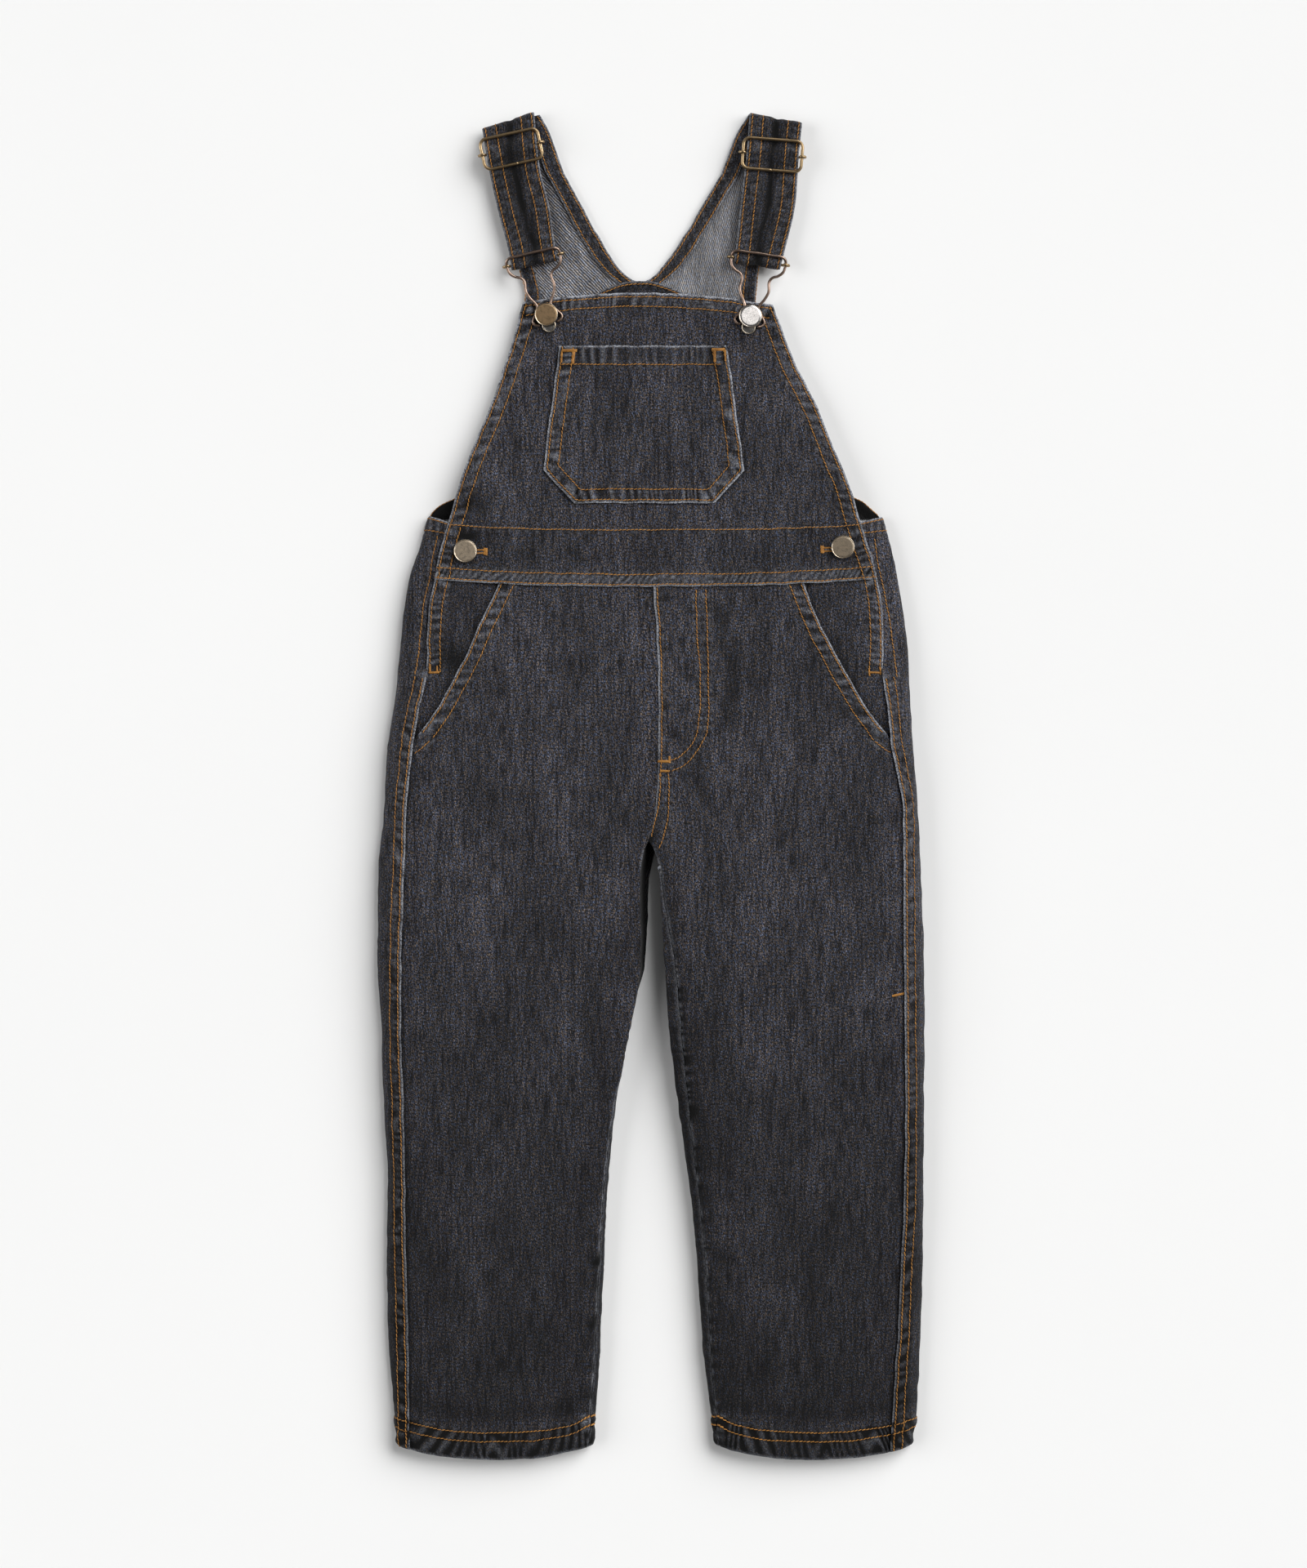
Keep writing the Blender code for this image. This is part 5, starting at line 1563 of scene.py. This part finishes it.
def back_bib(side):
    name = side_name(side)
    y = heights((BACK_TOP, 1.9), (192, 1.2), (BACK_FOOT, 1))
    outer, inner = BACK(f"armhole_{name}", y), BACK(f"neck_{name}", y)
    x = mix(outer, inner, spaced(56, 0.4))
    y = to_shoulder(side, x, y)
    flat = np.stack((x, y), -1)
    turn, closeness = (math.radians(30), 0.8) if side == LEFT else (0.0, 1.0)
    turned_by = np.array(((math.cos(turn), -math.sin(turn)), (math.sin(turn), math.cos(turn))))
    grain = flat @ turned_by * closeness
    waves = 0.12 * unevenness(x, y, 14.0, 61)
    cloth = Cloth(x, y, WALL + 0 * waves, pattern=flat, grain=grain)
    cloth.rise += np.minimum(0.0, waves)
    strap_edge = STRAP[side].rows
    cloth.shade_beside(strap_edge[:, 3:5], 0.6 if side == LEFT else 0.35, 4.5)
    neck_y = np.linspace(312, 400, 30)
    facing_edge = line_of(BACK, f"neck_{name}", neck_y, side * FACING_WIDTH)
    cloth.shade_beside(facing_edge, 0.4, 2.0)
    armhole = cloth.edge("first")
    corner = below(armhole, ARMHOLE_HEM[0] + 4)
    cloth.edge_finish(corner, fold=3.0, pucker=0.15, period=6.0, worn=0.5, raised=0.1, seed=67)
    cloth.sew(cloth.inset(corner, 2.6, (0.0, 1.0)))
    # Painted shade in the hollow at the armhole's lower corner, standing also for the dark facing there; the
    # left back is a little darker in tone.
    cloth.dusk += 1.28 * ease((ARMHOLE_HEM[0] + 8 - y) / 8) + (0.12 if side == LEFT else 0.0)
    cloth.worn += 0.0 if side == LEFT else 0.14
    return finish_cloth("back_bib", cloth, wall=WALL, outside=DENIM_INSIDE, inside=DENIM, rests_on=["floor"],
                        name=f"back_bib_{name}", slot="denim_wrong_side")


def strip(name, side, edge, inward, width, y, level, seed):
    x0 = BACK(edge, y)
    if edge.startswith("neck"):
        tucked = BACK(edge, 310.0) + side * -1.05 * (310.0 - y)
        x0 = np.where(y < 310.0, NECK_X + side * np.maximum(0.2, side * (tucked - NECK_X)), x0)
    x = x0 + inward * width * spaced(15, 0.3)
    y = to_shoulder(side, x, y)
    cloth = Cloth(x, y, level + 0 * x)
    cloth.side_edges((1.6,), seed, fold=2.6, pucker=0.16, period=6.0, worn=0.5, raised=-0.1)
    cloth.dusk += 0.18
    return finish_cloth(name, cloth, rests_on=[f"back_bib_{side_name(side)}_cloth"], narrow=True)


def back_strips(side):
    name = side_name(side)
    level = WALL + LAP
    strip(f"neck_facing_{name}", side, f"neck_{name}", side, FACING_WIDTH,
          heights((BACK_TOP, 1.1), (302.0, 1)), level, 71)
    low, high = ARMHOLE_HEM
    strip(f"armhole_hem_{name}", side, f"armhole_{name}", -side, HEM_WIDTH, heights((high, 1.3), (low, 1)),
          level, 73)


def back_cross():
    share = np.linspace(-1, 1, 50)[None, :]
    top = CROSS_TOP - CROSS_CURVE * share**2
    y = mix(CROSS_FOOT, top, np.linspace(1, 0, 26)[:, None])
    x = NECK_X - 1 + CROSS_HALF * share + 0 * y
    cloth = Cloth(x, y, WALL + 2 * LAP + 0 * x)
    cloth.sewn_edge(cloth.edge("top"), (1.8,), fold=3.0, pucker=0.2, period=6.0, worn=0.7, seed=79)
    # Painted shade over the whole cross piece, which lies in shadow.
    cloth.dusk += 0.6
    return finish_cloth("back_cross", cloth, rests_on=["neck_facing_left_cloth", "neck_facing_right_cloth"])


def arc(centre_along, centre_z, radius, start, end, steps):
    a = np.radians(np.linspace(start, end, steps + 1))
    return list(zip(centre_along + radius * np.cos(a), centre_z + radius * np.sin(a)))


def strap_path(side):
    """Side view of a strap: distance from the shoulder fold, and height of its middle."""
    slider, bar = SLIDER[side]["along"], HOOK[side]["along"]
    half = STRAP_WALL / 2
    low = 2 * LAP + half
    level = low + STRAP_WALL + GAP
    bar_z = SLIDER_Z - CURL_R
    over_bar = bar_z + WIRE_R + GAP + half
    under_wire = SLIDER_Z - WIRE_R - GAP - half
    turn = WIRE_R + 1.3 * GAP + half
    path = [(12, low), (6, low)]
    path += arc(SHOULDER_R + 1.1, low + SHOULDER_R, SHOULDER_R, -90, -270, 8)
    path += [(slider + along, under_wire + rise) for along, rise in ((-11, 0), (-7.4, 0), (-4.5, 0.9))]
    path += [(slider - 2, over_bar), (slider + 2, over_bar)]
    path += [(slider + along, under_wire + rise) for along, rise in ((4.5, 0.9), (7.4, 0), (12, 0))]
    path += [(slider + 19, level), (bar - 22, level), (bar - 9.5, level + 0.1)]
    path += [(bar - 5.5, level + 1.0), (bar - 2.5, low + 2 * turn)]
    path += arc(bar, low + turn, turn, 90, -90, 8)
    path += [(bar - 8, low), (mix(slider, bar, 0.6), low), (mix(slider, bar, 0.3), low)]
    path += [(slider + 5, low), (slider - 1, min(low + GAP, bar_z - WIRE_R - GAP - half))]
    path = np.array(path, float)
    for _ in range(2):
        early, late = mix(path[:-1], path[1:], 0.25), mix(path[:-1], path[1:], 0.75)
        cut = np.stack((early, late), 1).reshape(-1, 2)
        path = np.vstack((path[:1], cut, path[-1:]))
    total = lengths(path)[-1]
    return points_at(path, np.linspace(0, total, int(total / 1.05)))


def strap(side):
    name = side_name(side)
    path = strap_path(side)
    along, z = path[:, :1], path[:, 1:]
    outer = [STRAP[side](f"outer_{k}", along) for k in "xy"]
    inner = [STRAP[side](f"inner_{k}", along) for k in "xy"]
    left, right = (outer, inner) if side == LEFT else (inner, outer)
    share = spaced(38, 0.35)
    x, y = mix(left[0], right[0], share), mix(left[1], right[1], share)
    width = np.hypot(right[0] - left[0], right[1] - left[1])
    far = lengths(path)[:, None]
    cloth = Cloth(x, y, z + 0 * x, pattern=np.stack((width * (share - 0.5), far + 0 * x), -1))
    cloth.rise += STRAP_WALL / 2
    cloth.side_edges((1.9, 8.5), 83, within=(1, 1), fold=9.0, pucker=0.15, period=7.5, slant=0.5,
                     worn=0.55, raised=0.12)
    u, v = cloth.pattern[..., 0], cloth.pattern[..., 1]
    wander = 1.6 * ragged(v, 13.0, 87 + side) + 0.7 * ragged(v, 5.0, 89 + side)
    valley = bump_at(u - wander, 2.4)
    crumple = unevenness(u * 1.6, v * 0.6, 6.5, 91 + side)
    cloth.rise += -0.85 * valley + 0.25 * crumple * bump_at(u, 5.5)
    # Painted shade in the middle valley and the crumple troughs, with darker tone; the crests get some wear
    # and painted highlight.
    troughs = np.clip(-crumple, 0, 1) * bump_at(u, 6.0)
    cloth.dusk += 0.55 * valley + 0.30 * bump_at(u, 5.0) + 0.35 * troughs + 0.40
    cloth.worn += 0.14 * np.clip(crumple, 0, 1) * bump_at(np.abs(u) - 5.0, 2.5)
    rows = [f"hook_bar_{name}", f"slider_bar_{name}", "bib_cloth"]
    return finish_cloth(f"strap_{name}", cloth, up=None, wall=STRAP_WALL, inside=DENIM, rests_on=rows)


# ---------------------------------------------------------------- metal fittings

def tube(name, path, radius, finish, sides=14):
    """A round wire along a path, with rounded cut ends."""
    path = np.asarray(path, float)
    ahead = unit(np.gradient(path, axis=0))
    side = np.cross(ahead[0], (0.13, 0.2, 1.0))
    frames = []
    for direction in ahead:
        side = side - direction * (side @ direction)
        side /= np.linalg.norm(side)
        frames.append((side, np.cross(direction, side)))
    sizes = np.full(len(path), radius)
    cap = 0.35 * radius
    path = np.vstack((path[0] - ahead[0] * cap, path, path[-1] + ahead[-1] * cap))
    frames = [frames[0]] + frames + [frames[-1]]
    sizes = np.concatenate(([0.72 * radius], sizes, [0.72 * radius]))
    a = 2 * math.pi * np.arange(sides) / sides
    points = [
        centre + size * (np.cos(a)[:, None] * u + np.sin(a)[:, None] * v)
        for centre, size, (u, v) in zip(path, sizes, frames)
    ]
    return mesh_object(name, np.vstack(points), capped_bands(len(path), sides), (finish,), 40)


def placed(centre, turn, points):
    """Points given on a fitting's own axes, moved to their place on the garment."""
    points = np.asarray(points, float)
    c, s = math.cos(math.radians(turn)), math.sin(math.radians(turn))
    moved = points.copy()
    moved[:, 0] = centre[0] + c * points[:, 0] - s * points[:, 1]
    moved[:, 1] = centre[1] + s * points[:, 0] + c * points[:, 1]
    return moved


def bar_points(half, along_y, bar_z, post_half):
    a = np.radians(np.linspace(-90, 118, 16))
    curl = np.column_stack((post_half + CURL_R * np.cos(a), np.full(16, along_y),
                            bar_z + CURL_R + CURL_R * np.sin(a)))
    straight = [(half * s, along_y, bar_z) for s in (0.0, 0.3, 0.6, 0.9)]
    right = np.vstack((straight, curl))
    return np.vstack((right[:0:-1] * (-1, 1, 1), right))


def slider(side):
    name, spec = side_name(side), SLIDER[side]
    half_x, half_y = SLIDER_HALF
    points = []
    for quarter, (sx, sy) in enumerate(((1, 1), (-1, 1), (-1, -1), (1, -1))):
        a = np.radians(90 * quarter + np.linspace(0, 90, 9))
        corner = (sx * (half_x - SLIDER_CORNER), sy * (half_y - SLIDER_CORNER))
        for angle in a:
            points.append((corner[0] + SLIDER_CORNER * math.cos(angle),
                           corner[1] + SLIDER_CORNER * math.sin(angle), SLIDER_Z))
    split = 2.2 if side == LEFT else 0.0  # where the wire's ends meet in the lower bar
    ring = points[27:] + points[:27]
    path = [(split + 0.25, -half_y, SLIDER_Z)] + ring + [(split - 0.25, -half_y, SLIDER_Z)]
    path = points_at(np.array(path), np.linspace(0, lengths(np.array(path))[-1], 150))
    path = placed(spec["centre"], spec["turn"], path)
    obj = tube(f"slider_{name}_wire", path, WIRE_R * WIRE_SWELL, BRASS, 16)
    piece(obj, "slider_brass", f"slider_{name}")
    bar = bar_points(half_x - 1.5, 0.0, SLIDER_Z - CURL_R, half_x)
    obj = tube(f"slider_{name}_bar_wire", placed(spec["centre"], spec["turn"], bar), WIRE_R, BRASS, 16)
    piece(obj, "slider_brass", f"slider_bar_{name}")


def hook(side):
    name, spec = side_name(side), HOOK[side]
    right = np.array(HOOK_HALF)
    path = np.vstack((right[:0:-1] * (-1, 1, 1), right))
    path = placed(spec["button"], spec["turn"], spline(path, 6))
    resting = path[:, 1] < bib_top(path[:, 0])
    level = front(path[:, 0], path[:, 1], GAP + HOOK_WIRE_R + 0.15)
    path[:, 2] = np.where(resting, np.maximum(path[:, 2], level), path[:, 2])
    obj = tube(f"hook_{name}_wire", path, HOOK_WIRE_R * WIRE_SWELL, HOOK_METAL)
    piece(obj, "hook_wire", f"hook_{name}")
    bar = placed(spec["button"], spec["turn"], bar_points(15.0, HOOK_BAR_UP, HOOK_BAR_Z, HOOK_HALF[4][0]))
    obj = tube(f"hook_{name}_bar_wire", bar, WIRE_R * 0.95, BRASS)
    piece(obj, "hook_wire", f"hook_bar_{name}")


def turned(name, profile, finishes, rim, steps=64):
    """A solid turned from its half section, given from the top centre to the foot centre.

    Its bands from rim[0] up to rim[1] get the second finish.
    """
    a = 2 * math.pi * np.arange(steps) / steps
    points = [(0.0, 0.0, profile[0][1])]
    for r, z in profile[1:-1]:
        points += list(zip(r * np.cos(a), r * np.sin(a), np.full(steps, z)))
    points.append((0.0, 0.0, profile[-1][1]))
    last = len(points) - 1
    sides = 1 + bands(len(profile) - 2, steps)
    around = np.arange(steps)
    after, lowest = np.roll(around, -1), last - steps
    faces = [(0, 1 + i, 1 + j) for i, j in zip(around, after)] + sides.tolist()
    faces += [(lowest + i, last, lowest + j) for i, j in zip(around, after)]
    obj = mesh_object(name, points, faces, finishes, 50)
    second_finish(obj, steps * (1 + rim[0]), steps * (1 + rim[1]))
    return obj


def button(name, centre, foot, gap, tilt, face):
    r, high = BUTTON_R, BUTTON_HEIGHT
    profile = (
        (0.0, 0.90 * high), (r * 0.40, 0.90 * high), (r * 0.75, 0.90 * high), (r * 0.885, 0.90 * high),
        (r * 0.905, 0.86 * high), (r * 0.925, 0.92 * high), (r * 0.955, 0.98 * high), (r * 0.98, 0.93 * high),
        (r, 0.72 * high), (r, 0.40 * high), (r * 0.98, 0.15 * high), (r * 0.92, 0.0),
        (SHANK_R, 0.0), (SHANK_R, -gap), (0.0, -gap),
    )
    obj = turned(f"{name}_turned", profile, (face, RIM_METAL), rim=(4, 8))
    turn = Matrix.Rotation(math.radians(tilt[0]), 4, "X") @ Matrix.Rotation(math.radians(tilt[1]), 4, "Y")
    obj.data.transform(turn)
    obj.data.transform(Matrix.Translation((centre[0] * MM, centre[1] * MM, (foot + gap) * MM)))
    return piece(obj, "button_metal", name)


def buttons(side):
    name = side_name(side)
    centre = HOOK[side]["button"]
    foot = float(front(*centre)) + GAP
    # The right bib button's face is painted near white for the reflection it shows.
    lean, face = ((0.6, -2.0), BROWN_METAL) if side == LEFT else ((-2.6, 3.4), REFLECTION_PAINTED_METAL)
    button(f"bib_button_{name}", centre, foot, BIB_BUTTON_GAP, lean, face)
    centre = SIDE_BUTTON[side]
    foot = float(front(*centre, LAP)) + 2 * GAP
    lean = (0.8, -0.8) if side == LEFT else (2.0, -1.6)
    face = BUTTON_METAL if side == LEFT else OLD_METAL
    button(f"side_button_{name}", centre, foot, SIDE_BUTTON_GAP, lean, face)


def hook_plate(side):
    """Small plate with a round foot that holds the hook's ends below the button."""
    name, spec = side_name(side), HOOK[side]
    r = PLATE_HALF_WIDTH
    a = np.radians(np.linspace(180, 360, 25))
    outline = [(r, PLATE_TOP), (-r, PLATE_TOP)]
    outline += list(zip(r * np.cos(a), PLATE_FOOT + r + r * np.sin(a)))
    outline = np.array(outline[2:] + outline[:2])
    centre = np.array((0.0, (PLATE_TOP + PLATE_FOOT) / 2))
    layers = ((0.86, -0.35), (1.0, -0.2), (1.0, 0.25), (0.93, 0.45), (0.82, 0.42), (0.76, 0.22))
    points = []
    for scale, z in layers:
        points += [(x, y, z) for x, y in centre + (outline - centre) * scale]
    faces = capped_bands(len(layers), len(outline))
    spot = placed(spec["button"], spec["turn"], [(0.0, centre[1], 0.0)])[0]
    points = placed(spec["button"], spec["turn"], points)
    points[:, 2] += float(front(spot[0], spot[1])) + 2 * GAP + 0.45
    obj = mesh_object(f"hook_plate_{name}_pressed", points, faces, (PLATE_METAL, RIM_METAL), 40)
    second_finish(obj, 0, 4 * len(outline))
    piece(obj, "hook_wire", f"hook_plate_{name}")


for side in (LEFT, RIGHT):
    back_leg(side)
    back_bib(side)
    back_strips(side)
    front_leg(side)
    pocket_facing(side)
    strap(side)
    slider(side)
    hook(side)
    hook_plate(side)
    buttons(side)
back_cross()
bib()
bib_pocket()
waistband()


# ---------------------------------------------------------------- floor, light and camera

bpy.ops.mesh.primitive_plane_add(size=8.0, location=(0, 0, -0.0005))
floor = bpy.context.object
floor.name = "floor"
floor.data.materials.append(floor_finish())


def soft_light(name, place, aim, size, power):
    data = bpy.data.lights.new(name, "AREA")
    data.shape, data.size, data.size_y, data.energy = "RECTANGLE", size[0], size[1], power
    obj = add_object(name, data)
    obj.location = place
    obj.rotation_euler = (Vector(aim) - Vector(place)).to_track_quat("-Z", "Y").to_euler()


def soft_sun(name, towards, strength, spread):
    """Even light from one direction, from a patch of sky this many degrees wide."""
    data = bpy.data.lights.new(name, "SUN")
    data.energy, data.angle = strength, math.radians(spread)
    add_object(name, data).rotation_euler = Vector(towards).to_track_quat("Z", "Y").to_euler()


soft_sun("soft_key", (0.55, 0.52, 0.55), 3.05, 50)
soft_sun("from_left", (-0.84, 0.00, 0.46), 1.40, 42)
soft_sun("from_right", (0.84, 0.10, 0.42), 0.95, 36)
soft_light("top_panel", (0.52, 0.82, 2.3), (0.1, 0.3, 0), (0.5, 0.5), 0.85)
world = bpy.data.worlds.new("pale_room")
bpy.context.scene.world = world
world.use_nodes = True
background = world.node_tree.nodes["Background"]
background.inputs["Color"].default_value = (1.0, 1.0, 1.0, 1.0)
background.inputs["Strength"].default_value = 0.10

camera = add_object("camera", bpy.data.cameras.new("camera"))
camera.data.lens = 100.0
camera.data.sensor_width = 36.0
camera.location = (0.0015, 0.00125, 2.667)
bpy.context.scene.camera = camera
bpy.context.scene.view_settings.view_transform = "Standard"
